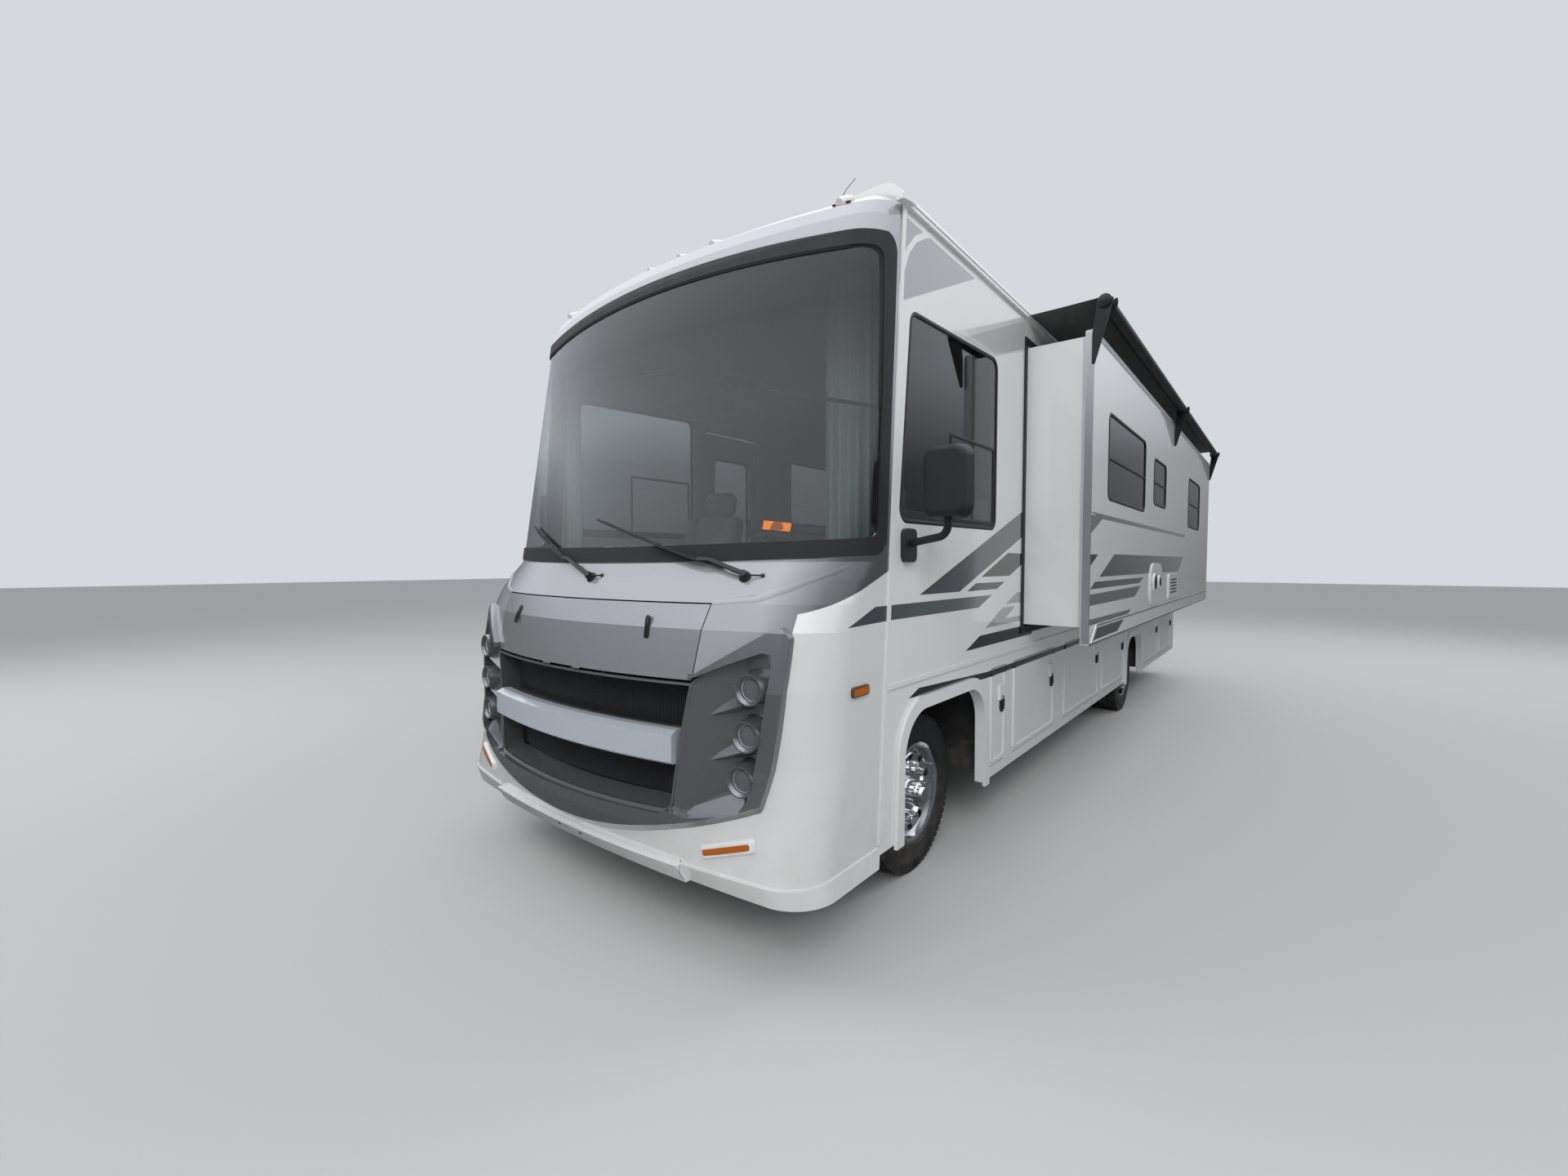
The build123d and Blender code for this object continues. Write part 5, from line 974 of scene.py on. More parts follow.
def makeHeadlamps():
    # bowl, bulb cowl and domed lens of each lamp
    lamp = {"bowl": 0.0445, "depth": 0.052, "lens": 0.0452, "edge": 0.022, "crown": 0.006}
    bowls, lenses, trims, rims = (bmesh.new() for _ in range(4))
    rim = [
        (0.0446, -0.030), (0.0446, -0.0245), (0.0345, -0.0290), (0.0335, -0.0340), (0.0365, -0.036),
        (0.0440, -0.034),
    ]
    for centre, axis in lampFrames():
        shares = [i / 8 for i in range(9)]
        widths = [lamp["bowl"] * (0.22 + 0.78 * math.sqrt(share)) for share in shares]
        depths = [-lamp["edge"] - lamp["depth"] * (1 - share) for share in shares]
        shell = lamp["bowl"] + 0.0008
        profile = [
            (0.002, depths[0] - 0.0005), *zip(widths, depths), (shell, depths[-1]),
            (shell, depths[0] - 0.004),
        ]
        addLathe(bowls, profile, centre, axis, 28)
        cowl = [
            (0.001, -0.062), (0.012, -0.062), (0.0165, -0.046), (0.0165, -0.038), (0.0135, -0.035),
            (0.008, -0.033), (0.001, -0.032),
        ]
        addLathe(trims, cowl, centre, axis, 20)
        for turn in (20, 110, 200, 290):
            across = axis.cross(upward).normalized()
            way = across * math.cos(math.radians(turn)) + upward * math.sin(math.radians(turn))
            ends = [centre + axis * -0.052 + way * 0.013, centre + axis * -0.034 + way * 0.041]
            addSweep(trims, ends, circle(0.0022, 6))
        outer, inner = [], []
        for i in range(7):
            share = i / 6
            radius = lamp["lens"] * math.cos(share * math.pi / 2 * 0.98)
            dome = (lamp["edge"] - lamp["crown"]) * math.sin(share * math.pi / 2)
            outer.append((radius, -lamp["edge"] + dome))
        for radius, along in reversed(outer):
            inner.append((max(radius - 0.0025, 0.0005), along - 0.0028))
        addLathe(lenses, outer + inner, centre, axis, 32)
        addLathe(rims, rim, centre, axis, 28)
    addPiece("headlampRims", rims, "blackPlastic")
    bowl = addPiece("headlampBowls", bowls, "lampSilver")
    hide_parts("headlamps")
    addPiece("headlampCowls", trims, "blackPlastic")
    addPiece("headlampLenses", lenses, "lensClear")


def makeWipers():
    wiper = {"arm": 0.011, "rest": 0.012}
    rows = (  # name, pivot, tip of the blade, share of the way where the blade starts, washer jet
        ("Left", (0.884, 1.586), (-0.02, 1.850), 0.16, (0.955, 1.592)),
        ("Right", (0.040, 1.574), (-0.80, 1.850), 0.18, (0.11, 1.585)),
    )
    for name, foot, tip, bladeShare, jet in rows:
        mesh = bmesh.new()
        steps = 16
        line, lifts = [], []
        for i in range(steps + 1):
            share = i / steps
            x, z = foot[0] + (tip[0] - foot[0]) * share, foot[1] + (tip[1] - foot[1]) * share
            spot, normal = hitFront(capSkin, x, z)
            line.append(spot)
            lifts.append(normal)
        pivot, lean = line[0], lifts[0]
        boss = [
            (0.026, -0.004), (0.026, 0.006), (0.019, 0.012), (0.017, 0.030), (0.0155, 0.034),
            (0.001, 0.036),
        ]
        addLathe(mesh, boss, pivot, lean, 20)
        # arm: a flat bar that narrows, lifted clear of the glass in the middle
        armLine, armEnd = [], int(steps * 0.62)
        for i in range(armEnd + 1):
            rise = 0.030 + 0.014 * math.sin(math.pi * i / armEnd)
            armLine.append(line[i] + lifts[i] * rise)
        for i, (start, stop) in enumerate(zip(armLine, armLine[1:])):
            wide = wiper["arm"] * (1 - 0.45 * i / armEnd)
            addSweep(mesh, [start, stop], barSection(wide, -0.004, wide * 0.8, 0.005), up=lifts[i])
        # blade carrier with a bowed yoke over it, and the rubber under it
        first = max(1, int(steps * bladeShare))
        blade = [line[i] + lifts[i] * wiper["rest"] for i in range(first, steps + 1)]
        up = sum((lifts[i] for i in range(first, steps + 1)), Vector()).normalized()
        addSweep(mesh, blade, barSection(0.006, 0, 0.0045, 0.010), up=up)
        rubber = [point - up * 0.003 for point in blade]
        addSweep(mesh, rubber, barSection(0.0022, -0.006, 0.002, 0.003), up=up)
        yoke = []
        for i in range(first, steps + 1):
            bow = 0.012 * math.sin(math.pi * (i - first) / (steps - first))
            yoke.append(line[i] + lifts[i] * (wiper["rest"] + 0.010 + bow))
        addSweep(mesh, yoke, barSection(0.004, 0, 0.003, 0.005), up=up)
        piece = addPiece(f"wiper{name}", mesh, "blackPlastic")
        if name == "Left":
            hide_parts("wipers")
        hose = bmesh.new()
        spot, normal = hitFront(capSkin, *jet)
        mid = (pivot + spot) / 2 + normal * 0.022 + Vector((0, 0, -0.012))
        p, q, r, s = pivot + lean * 0.024, mid, spot + normal * 0.010, spot
        line = [
            p * (1 - t) ** 3 + q * 3 * t * (1 - t) ** 2 + r * 3 * t * t * (1 - t) + s * t ** 3
            for t in [i / 12 for i in range(13)]
        ]
        addSweep(hose, line, circle(0.0035, 8))
        jetCap = [(0.009, -0.001), (0.009, 0.005), (0.005, 0.008), (0.001, 0.009)]
        addLathe(hose, jetCap, spot, normal, 14)
        addPiece(f"washerTube{name}", hose, "rubber")


def outerLoop(name, direction):
    # points of the longest sharp edge round the face of a thin CAD node that looks in the direction
    data = nodes[name].data
    mesh = bmesh.new()
    mesh.from_mesh(data)
    bmesh.ops.remove_doubles(mesh, verts=mesh.verts, dist=0.0001)
    mesh.normal_update()
    links = {}
    for edge in mesh.edges:
        if len(edge.link_faces) != 2:
            continue
        one, two = edge.link_faces
        if one.normal.angle(two.normal, 0) < math.radians(35):
            continue
        front = max(one.normal.dot(direction), two.normal.dot(direction))
        if front < 0.3:
            continue
        for a, b in (edge.verts, reversed(edge.verts)):
            links.setdefault(a, []).append(b)
    loops, seen = [], set()
    for start in links:
        if start in seen:
            continue
        loop, here, before = [start], start, None
        seen.add(start)
        while True:
            ways = [v for v in links[here] if v is not before and v not in seen]
            if not ways:
                break
            before, here = here, ways[0]
            seen.add(here)
            loop.append(here)
        loops.append([v.co.copy() for v in loop])
    mesh.free()
    return max(loops, key=len)


def evenly(points, gap):
    # points spaced about evenly round a closed loop
    spaced = []
    count = len(points)
    for i in range(count):
        a, b = points[i], points[(i + 1) % count]
        parts = max(1, round((b - a).length / gap))
        spaced += [a.lerp(b, k / parts) for k in range(parts)]
    thin = [spaced[0]]
    for point in spaced[1:]:
        if (point - thin[-1]).length > gap * 0.5:
            thin.append(point)
    return thin


makeHoodLatches()
makeGrilleMesh()
makeHeadlamps()
makeWipers()
print("front pieces made")


# Glass frames, markers and side trim

def makeSealInsert():
    # black rubber insert that runs round the windshield's edge
    loop = evenly(outerLoop("windshield", -rearward), 0.05)
    mesh = bmesh.new()
    centre = sum(loop, Vector()) / len(loop)
    section = [(-0.011, -0.003), (0.006, -0.003), (0.006, 0.006), (-0.003, 0.0085), (-0.011, 0.006)]
    rings = []
    for i, point in enumerate(loop):
        way = (loop[(i + 1) % len(loop)] - loop[i - 1]).normalized()
        inward = (centre - point) - way * (centre - point).dot(way)
        inward = (inward - rearward * inward.dot(rearward)).normalized()
        lift = way.cross(inward)
        lift = lift if lift.y < 0 else -lift
        rings.append([point + inward * -u + lift * v for u, v in section])
    addRings(mesh, rings, closedAlong=True)
    addPiece("windshieldInsert", mesh, "rubber")


def makeMarkers():
    # white teardrop housings of the roof markers
    marker = {
        "places": (-1.040, -0.250, 0.0, 0.250, 1.040), "y": -0.652, "length": 0.125, "width": 0.042,
        "height": 0.030,
    }
    roofSkin = skinOf("front_cap")
    housings = bmesh.new()
    for x in marker["places"]:
        spot, normal = hitTop(roofSkin, x, marker["y"])
        if spot is None:
            continue
        back = (rearward - normal * normal.y).normalized()
        across = back.cross(normal).normalized()
        rings = []
        for i in range(9):
            share = i / 8
            along = -0.014 + marker["length"] * share
            size = math.sqrt(max(0.0, 1 - share ** 2.2)) * 0.94 + 0.06
            high, wide = marker["height"] * size, marker["width"] * size
            at, half = spot + back * along, wide * 0.5
            turns = [math.pi * k / 8 for k in range(9)]
            rings.append([
                *(at + across * (half * math.cos(a)) + normal * (high * math.sin(a)) for a in turns),
                at - across * half - normal * 0.03, at + across * half - normal * 0.03,
            ])
        addRings(housings, rings)
    addPiece("markerHousings", housings, "whiteGelcoat")


def makeAntenna():
    mesh = bmesh.new()
    spot = hitTop(skinOf("front_cap", "roof"), 0.93, -0.50)[0]
    foot = [(0.022, -0.004), (0.022, 0.004), (0.012, 0.012), (0.005, 0.018), (0.001, 0.02)]
    addLathe(mesh, foot, spot, upward, 16)
    whip = [spot + Vector(shift) for shift in ((0, 0.0, 0.01), (0.004, 0.05, 0.09), (0.01, 0.12, 0.17))]
    addSweep(mesh, whip, circle(0.0018, 6))
    addPiece("whipAntenna", mesh, "blackPlastic")


def makeSticker():
    # blank orange label inside the windshield's lower corner
    label = {"corners": ((0.905, 1.822), (1.020, 1.808), (1.018, 1.773), (0.903, 1.785))}
    skin = skinOf("windshield")
    mesh = bmesh.new()
    points = []
    for x, z in label["corners"]:
        spot, normal = hitFront(skin, x, z)
        points.append(spot + normal * 0.0008)
    mesh.faces.new([mesh.verts.new(p) for p in points])
    addPiece("windshieldLabel", mesh, "orangeLabel")


def frameRing(mesh, corners, radius, side, out, width, depth):
    # raised frame on a side wall. corners: y and z; out: x of its inner face
    count = len(corners)
    path = []
    for i, corner in enumerate(corners):
        before, after = Vector(corners[i - 1]), Vector(corners[(i + 1) % count])
        here = Vector(corner)
        toBefore, toAfter = (before - here).normalized(), (after - here).normalized()
        half = toBefore.angle(toAfter) / 2
        reach = radius / math.tan(half)
        middle = here + (toBefore + toAfter).normalized() * (radius / math.sin(half))
        start = here + toBefore * reach
        turnStart = math.atan2(start.y - middle.y, start.x - middle.x)
        stop = here + toAfter * reach
        turnStop = math.atan2(stop.y - middle.y, stop.x - middle.x)
        delta = (turnStop - turnStart + math.pi) % math.tau - math.pi
        for k in range(7):
            turn = turnStart + delta * k / 6
            path.append(middle + Vector((math.cos(turn), math.sin(turn))) * radius)
    total = sum(path, Vector((0, 0))) / len(path)
    rings = []
    for i, point in enumerate(path):
        way = (path[(i + 1) % len(path)] - path[i - 1]).normalized()
        inward = Vector((-way.y, way.x))
        if inward.dot(total - point) < 0:
            inward = -inward
        ring = []
        for share, v in (
            (0, -0.001), (0, depth * 0.6), (0.2, depth), (0.8, depth), (1, depth * 0.6), (1, -0.001),
        ):
            spot = point + inward * (share * width)
            ring.append(place(side * (out + v), spot.x, spot.y))
        rings.append(ring)
    addRings(mesh, rings, closedAlong=True)


def addPlate(mesh, x, y, z, wide, tall, radius, depth):
    # rounded plate on a side wall, with a soft edge
    rings = []
    for inset, rise in ((0.0, -0.001), (0.0, depth * 0.6), (0.003, depth)):
        shape = roundedBox(wide - 2 * inset, tall - 2 * inset, radius - inset, 6)
        rings.append([place(x + rise, y + u, z + v) for u, v in shape])
    addRings(mesh, rings)


def boxCorners(front, low, rear, high):
    return [(front, low), (rear, low), (rear, high), (front, high)]


def makeWindowFrames():
    # black frames round the fixed windows, and the driver's sliding sash
    frameWidth = 0.020
    cab = [(-0.556, 1.821), (0.610, 1.832), (0.610, 2.814), (-0.461, 2.772)]
    mesh = bmesh.new()
    for side in (1, -1):
        frameRing(mesh, cab, 0.07, side, halfWidth - 0.004, frameWidth, 0.006)
    for window in (
        (1.900, 2.020, 3.000, 2.640), (3.600, 2.080, 4.350, 2.600), (6.050, 2.020, 7.150, 2.640),
    ):
        frameRing(mesh, boxCorners(*window), 0.07, -1, halfWidth - 0.004, frameWidth, 0.006)
    # sash of the driver's and passenger's sliding pane: lower rail and upright
    for side in (1, -1):
        x = halfWidth - 0.006
        corners = [(-0.02, 1.86), (0.575, 1.86), (0.575, 2.30), (-0.02, 2.30)]
        frameRing(mesh, corners, 0.018, side, x, 0.018, 0.007)
        addBox(mesh, (side * (x - 0.004), -0.535, 1.834), (side * (x + 0.003), 0.592, 1.882))
    addPiece("windowFrames", mesh, "blackPlastic")
    room = bmesh.new()
    for window in (
        (1.536, 2.057, 2.872, 2.636), (3.272, 2.151, 3.952, 2.565), (5.600, 2.057, 6.700, 2.636),
    ):
        frameRing(room, boxCorners(*window), 0.07, 1, roomWall - 0.004, frameWidth, 0.008)
        middle = window[1] * 0.52 + window[3] * 0.48
        addBox(room, (1.672, window[0] + 0.02, middle - 0.008), (1.679, window[2] - 0.02, middle + 0.008))
    addPiece("roomWindowFrames", room, "blackPlastic", "slide_room")


def makeRoomTrim():
    # aluminium edge trims of the run-out room, and its two service panels
    edge = {"front": 1.092, "rear": 7.760, "low": 1.139, "top": 3.040, "outer": roomWall, "line": 1.252}
    mesh = bmesh.new()
    outer = edge["outer"]
    # upright trims wrap the outer wall's front and rear edges
    for y, way in ((edge["front"], 1), (edge["rear"], -1)):
        path = [place(outer, y, edge["low"] + 0.015), place(outer, y, edge["top"] - 0.015)]
        section = [
            (0.040, -0.0035), (-0.0035, -0.0035), (-0.0035, 0.014), (0.0, 0.014), (0.0, 0.0), (0.040, 0.0)
        ]
        addSweep(mesh, path, [(u, way * v) for u, v in section], up=rearward)
    for z, tall in ((edge["top"], -0.030), (edge["low"], 0.014)):
        path = [place(outer, edge["front"] + 0.02, z), place(outer, edge["rear"] - 0.02, z)]
        lap = 0.003 if tall < 0 else -0.003
        section = [(-0.04, lap), (0.0035, lap), (0.0035, tall), (0.0, tall), (0.0, 0.0), (-0.04, 0.0)]
        addSweep(mesh, path, section, up=upward)
    for start, stop in (
        ((1.30, edge["line"]), (7.70, edge["line"])), ((1.168, 1.145), (1.30, edge["line"])),
    ):
        section = [(0.0, -0.008), (0.0035, -0.006), (0.0035, 0.006), (0.0, 0.008)]
        addSweep(mesh, [place(outer, *start), place(outer, *stop)], section, up=upward)
    addPiece("roomEdgeTrim", mesh, "aluminium", "slide_room")

    panels, ports = bmesh.new(), bmesh.new()
    addPlate(panels, outer, 3.485, 1.460, 0.61, 0.37, 0.15, 0.010)
    addPlate(panels, outer, 4.525, 1.412, 0.61, 0.245, 0.03, 0.010)
    # round ports with their caps on the first, slots on the second
    for y, radius in ((3.360, 0.082), (3.600, 0.060)):
        port = [
            (radius, 0.0), (radius, 0.009), (radius - 0.010, 0.013), (radius - 0.012, 0.006),
            (0.001, 0.006),
        ]
        cap = [(radius - 0.016, 0.0), (radius - 0.016, 0.009), (radius - 0.024, 0.011), (0.001, 0.011)]
        addLathe(panels, port, place(outer + 0.009, y, 1.475), leftward, 28)
        addLathe(ports, cap, place(outer + 0.014, y, 1.475), leftward, 24)
    for k in range(5):
        z = 1.345 + k * 0.032
        addBox(ports, (outer + 0.008, 4.33, z), (outer + 0.0135, 4.72, z + 0.014))
    for y in (3.225, 3.745):
        screw = [(0.007, 0.0), (0.007, 0.003), (0.001, 0.004)]
        addLathe(ports, screw, place(outer + 0.009, y, 1.46), leftward, 10)
    addPiece("roomServicePorts", ports, "blackPlastic", "slide_room")
    addPiece("roomServicePanels", panels, "whiteGelcoat", "slide_room")


def makeTopper():
    # topper fabric as one sheet, pulled between the gutter rail and the roller
    topper = {
        "start": 1.09, "stop": 7.76, "inner": 1.302, "outer": 1.712, "low": 3.2005, "high": 3.2085,
        "sag": 0.012,
    }
    across, along = 10, 60
    rows = []
    for i in range(along + 1):
        y = topper["start"] + (topper["stop"] - topper["start"]) * i / along
        row = []
        for j in range(across + 1):
            share = j / across
            x = topper["inner"] + (topper["outer"] - topper["inner"]) * share
            dip = math.sin(math.pi * share)
            ends = math.sin(math.pi * min(1.0, (i + 4) / (along + 8)))
            z = topper["low"] + (topper["high"] - topper["low"]) * share
            z += -topper["sag"] * dip * (0.75 + 0.25 * math.sin(i * 1.7)) * ends + 0.003
            row.append(place(x, y, z))
        rows.append(row)
    item = addSheet("topperSheet", rows, "topperCloth", faceUp=True)
    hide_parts("topper_fabric")
    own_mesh(item)


def makeRoller():
    # end caps and cradles of the topper roller
    roller = {"x": 1.742, "z": 3.170, "cradle": 0.037 + 0.0035}
    mesh = bmesh.new()
    for y, way in ((1.050, -1), (7.800, 1)):
        cap = [
            (0.037, -0.002), (0.039, 0.0), (0.039, 0.010), (0.024, 0.016), (0.012, 0.018), (0.001, 0.019),
        ]
        addLathe(mesh, cap, place(roller["x"], y, roller["z"]), way * rearward, 24)
    for y in (1.115, 4.42, 7.735):
        turns = [math.radians(-200 + 230 * k / 16) for k in range(17)]
        reach = roller["cradle"]
        path = [
            place(roller["x"] + reach * math.cos(a), y, roller["z"] + reach * math.sin(a)) for a in turns
        ]
        addSweep(mesh, path, barSection(0.018, -0.0015, 0.018, 0.0025), up=rearward)
    addPiece("rollerCaps", mesh, "blackPlastic", "slide_room")


def makeGutter():
    # rain channel's lip with a spout at its front end, and the seam that curves down the front corner
    spoutSection = [
        (-0.022, -0.010), (0.016, -0.010), (0.016, 0.012), (0.010, 0.012), (0.010, -0.004),
        (-0.016, -0.004), (-0.016, 0.012), (-0.022, 0.012),
    ]
    seam = (
        (-0.560, 2.640), (-0.560, 2.750), (-0.551, 2.840), (-0.530, 2.930), (-0.487, 3.018),
        (-0.420, 3.088), (-0.335, 3.140), (-0.250, 3.176), (-0.205, 3.186),
    )
    seamSection = ((-0.001, -0.014), (-0.001, 0.014), (0.007, 0.011), (0.0095, 0.0), (0.007, -0.011))
    for name, side in sides:
        mesh, curve = bmesh.new(), bmesh.new()
        x = side * (halfWidth + 0.0183)
        section = [(0.0, -0.004), (side * 0.004, -0.004), (side * 0.004, 0.004), (0.0, 0.006)]
        addSweep(mesh, [place(x, y, 3.212) for y in (-0.535, 7.80)], section, up=upward)
        x = side * (halfWidth + 0.016)
        spout = [place(x, y, z) for y, z in ((-0.49, 3.205), (-0.545, 3.200), (-0.60, 3.190))]
        addSweep(mesh, spout, spoutSection, up=upward)
        addPiece(f"gutterLip{name}", mesh, "whiteGelcoat")
        path = [place(side * halfWidth, y, z) for y, z in seam]
        addSweep(curve, path, [(side * u, v) for u, v in seamSection])
        addPiece(f"seamCurve{name}", curve, "whiteGelcoat")


def makeDoorFittings():
    # oval latches of the baggage doors
    rearEdges = {
        "left": (0.817, 1.825, 3.197, 4.290, 6.400, 7.560),
        "right": (2.900, 6.700),
    }
    for sideName, side in (("left", 1), ("right", -1)):
        for count, rear in enumerate(rearEdges[sideName], 1):
            body = f"baggage_door_{sideName}_{count}"
            mesh = bmesh.new()
            y, z = rear - 0.075, 0.80
            rings = []
            for depth, size in ((0.0, 1.0), (0.008, 1.0), (0.012, 0.84), (0.009, 0.70), (0.0085, 0.30)):
                shape = roundedBox(0.062 * size, 0.105 * size, 0.030 * size, 4)
                rings.append([place(side * (halfWidth + depth), y + u, z + v) for u, v in shape])
            addRings(mesh, rings)
            inner, outer = side * (halfWidth + 0.006), side * (halfWidth + 0.014)
            addBox(mesh, (inner, y - 0.012, z - 0.03), (outer, y + 0.012, z + 0.03))
            addPiece(f"doorLatch{sideName.capitalize()}{count}", mesh, "blackPlastic", body)


def makeSideMarkers():
    # dark frame round each side marker lamp
    mesh = bmesh.new()
    for side in (1, -1):
        frameRing(
            mesh, boxCorners(-0.932, 1.108, -0.808, 1.150), 0.012, side, halfWidth - 0.001, 0.006, 0.013,
        )
    addPiece("sideMarkerFrames", mesh, "castIron")


def makeMirrorFaces():
    # flat glass of each mirror
    mesh = bmesh.new()
    for side in (1, -1):
        middle = place(side * 1.503, -0.511, 1.985)
        for size, shift in ((1.0, 0.0005), (0.93, 0.0030)):
            shape = roundedBox(0.190 * size, 0.292 * size, 0.045, 5)
            depths = (shift - 0.002, shift + 0.001)
            addRings(mesh, [[middle + Vector((u, depth, v)) for u, v in shape] for depth in depths])
    addPiece("mirrorFaces", mesh, "chrome")


makeSealInsert()
makeMarkers()
makeAntenna()
makeSticker()
makeWindowFrames()
makeRoomTrim()
makeTopper()
makeRoller()
makeGutter()
makeDoorFittings()
makeSideMarkers()
makeMirrorFaces()
print("side trim made")


# Front: cowl ridge and bumper details

def frontStrip(name, points, section, finish, skin, taper=0.0):
    # strip laid along points of the front view. section: across and away from the skin
    # taper is the share of its length that thins at each end
    line, lifts = [], []
    for (x0, z0), (x1, z1) in zip(points, points[1:]):
        parts = max(1, round(math.hypot(x1 - x0, z1 - z0) / 0.03))
        for k in range(parts):
            spot, normal = hitFront(skin, x0 + (x1 - x0) * k / parts, z0 + (z1 - z0) * k / parts)
            if spot is not None:
                line.append(spot)
                lifts.append(normal)
    spot, normal = hitFront(skin, *points[-1])
    line.append(spot)
    lifts.append(normal)
    mesh = bmesh.new()
    rings = []
    for i, point in enumerate(line):
        way = (line[min(i + 1, len(line) - 1)] - line[max(i - 1, 0)]).normalized()
        lift = (lifts[i] - way * lifts[i].dot(way)).normalized()
        across = way.cross(lift).normalized()
        share = i / (len(line) - 1)
        size = 1.0 if taper <= 0 else min(1.0, 0.08 + share / taper, 0.08 + (1 - share) / taper)
        rings.append([
            point + across * u * (0.4 + 0.6 * size) + lift * (v * size if v > 0 else v) for u, v in section
        ])
    addRings(mesh, rings)
    addPiece(name, mesh, finish)


def makeBumperTrim():
    # seams at the ends of the bumper's lip, screws in it, and a sloping bezel round each corner lamp
    bumperSkin = skinOf("front_bumper", "front_cap", "lamp_fascia", "small_lamps")
    for name, side in sides:
        frontStrip(
            f"bumperSeam{name}", [(side * 0.722, 0.436), (side * 0.7245, 0.395), (side * 0.725, 0.352)],
            barSection(0.0014, -0.001, 0.0014, 0.0006), "rubber", bumperSkin,
        )
        turn = math.radians(17) * side
        mesh = bmesh.new()
        middle = (side * 0.947, 0.531)
        rings = []
        for grow, lift in (
            (0.019, -0.004), (0.017, 0.004), (0.008, 0.0135), (-0.0020, 0.0135), (-0.0035, 0.011),
            (-0.0035, 0.002),
        ):
            ring = []
            for u, v in roundedBox(0.212 + 2 * grow, 0.024 + 2 * grow, 0.0075 + max(grow, 0) * 0.4, 3):
                x = middle[0] + u * math.cos(turn) - v * math.sin(turn)
                z = middle[1] + u * math.sin(turn) + v * math.cos(turn)
                spot, normal = hitFront(frontSkin, x, z)
                ring.append(spot + normal * lift)
            rings.append(ring)
        addRings(mesh, rings, caps=False)
        addPiece(f"cornerLampBezel{name}", mesh, "whiteGelcoat")
    screws = bmesh.new()
    for x, z in ((-0.070, 0.400), (0.097, 0.398)):
        spot, normal = hitFront(bumperSkin, x, z)
        if spot is None:
            continue
        screw = [(0.0085, -0.001), (0.0085, 0.002), (0.005, 0.0045), (0.001, 0.005)]
        addLathe(screws, screw, spot, normal, 14)
    addPiece("bumperScrews", screws, "castIron")


def makeCowlRidge():
    # raised crease that runs from the cowl out to each pillar
    skin = skinOf("front_cap")
    for name, side in sides:
        points = [
            (side * x, z)
            for x, z in ((0.797, 1.483), (0.976, 1.500), (1.070, 1.539), (1.207, 1.604), (1.244, 1.633))
        ]
        section = [
            (-0.030, -0.003), (0.024, -0.003), (0.017, 0.0012), (0.009, 0.0042), (0.001, 0.0056),
            (-0.008, 0.0046), (-0.020, 0.0016),
        ]
        frontStrip(f"cowlRidge{name}", points, section, "capGelcoat", skin, taper=0.45)


# Inside the cab

def makeCurtain(name, path, top, low, folds, depth):
    # pleated curtain hung along a path of x and y, gathered to about two thirds of its cut width
    random.seed(len(name) * 7 + folds)
    lengths = [0.0]
    for a, b in zip(path, path[1:]):
        lengths.append(lengths[-1] + (Vector(b) - Vector(a)).length)
    across, rows = folds * 8, 14

    def along(share):
        run = share * lengths[-1]
        for i in range(len(path) - 1):
            if run <= lengths[i + 1] or i == len(path) - 2:
                part = (run - lengths[i]) / (lengths[i + 1] - lengths[i])
                a, b = Vector(path[i]), Vector(path[i + 1])
                way = (b - a).normalized()
                return a.lerp(b, part), Vector((-way.y, way.x))

    shifts = [random.uniform(-0.5, 0.5) for _ in range(folds + 2)]
    grid = []
    for j in range(rows + 1):
        height = j / rows
        row = []
        for i in range(across + 1):
            spot, out = along(i / across)
            phase = i / across * folds
            wobble = shifts[int(phase) % len(shifts)] * 0.35 * height
            wave = math.sin(math.tau * (phase + wobble * 0.25))
            size = depth * (0.62 + 0.38 * height) * (1 + 0.2 * math.sin(phase * 1.3))
            spot = spot + out * (wave * size)
            z = top + (low - top) * height + 0.004 * math.sin(math.tau * phase + 1.0) * height
            row.append(place(spot.x, spot.y, z))
        grid.append(row)
    item = addSheet(name, grid, "curtainCloth")
    return item


def makeCurtains():
    for name, side in sides:
        path = [(side * x, y) for x, y in ((1.205, -0.575), (1.13, -0.628), (0.96, -0.650))]
        item = makeCurtain(f"curtain{name}", path, 2.93, 1.72, 6, 0.020)
        if name == "Left":
            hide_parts("curtains")


def addPad(mesh, centre, tilt, size, radius, crown, cuts=9):
    # stuffed pad: a rounded block whose faces swell. tilt turns it about the x axis, in degrees
    half = Vector(size) / 2
    turn = Matrix.Rotation(math.radians(tilt), 3, "X")
    start = len(mesh.verts)
    made = bmesh.ops.create_cube(mesh, size=2.0)
    edges = list({edge for vertex in made["verts"] for edge in vertex.link_edges})
    bmesh.ops.subdivide_edges(mesh, edges=edges, cuts=cuts, use_grid_fill=True)
    mesh.verts.ensure_lookup_table()
    for vertex in mesh.verts[start:]:
        q = vertex.co.copy()
        spread = Vector([math.copysign(abs(c) ** 0.8, c) for c in q])
        p = Vector([spread[k] * half[k] for k in range(3)])
        core = Vector([max(-(half[k] - radius), min(half[k] - radius, p[k])) for k in range(3)])
        away = p - core
        p = core + away.normalized() * radius if away.length > 1e-6 else p
        for k in range(3):
            if abs(q[k]) > 0.999:
                a, b = (k + 1) % 3, (k + 2) % 3
                p[k] += math.copysign(crown * (1 - q[a] ** 2) * (1 - q[b] ** 2), q[k])
        vertex.co = centre + turn @ p


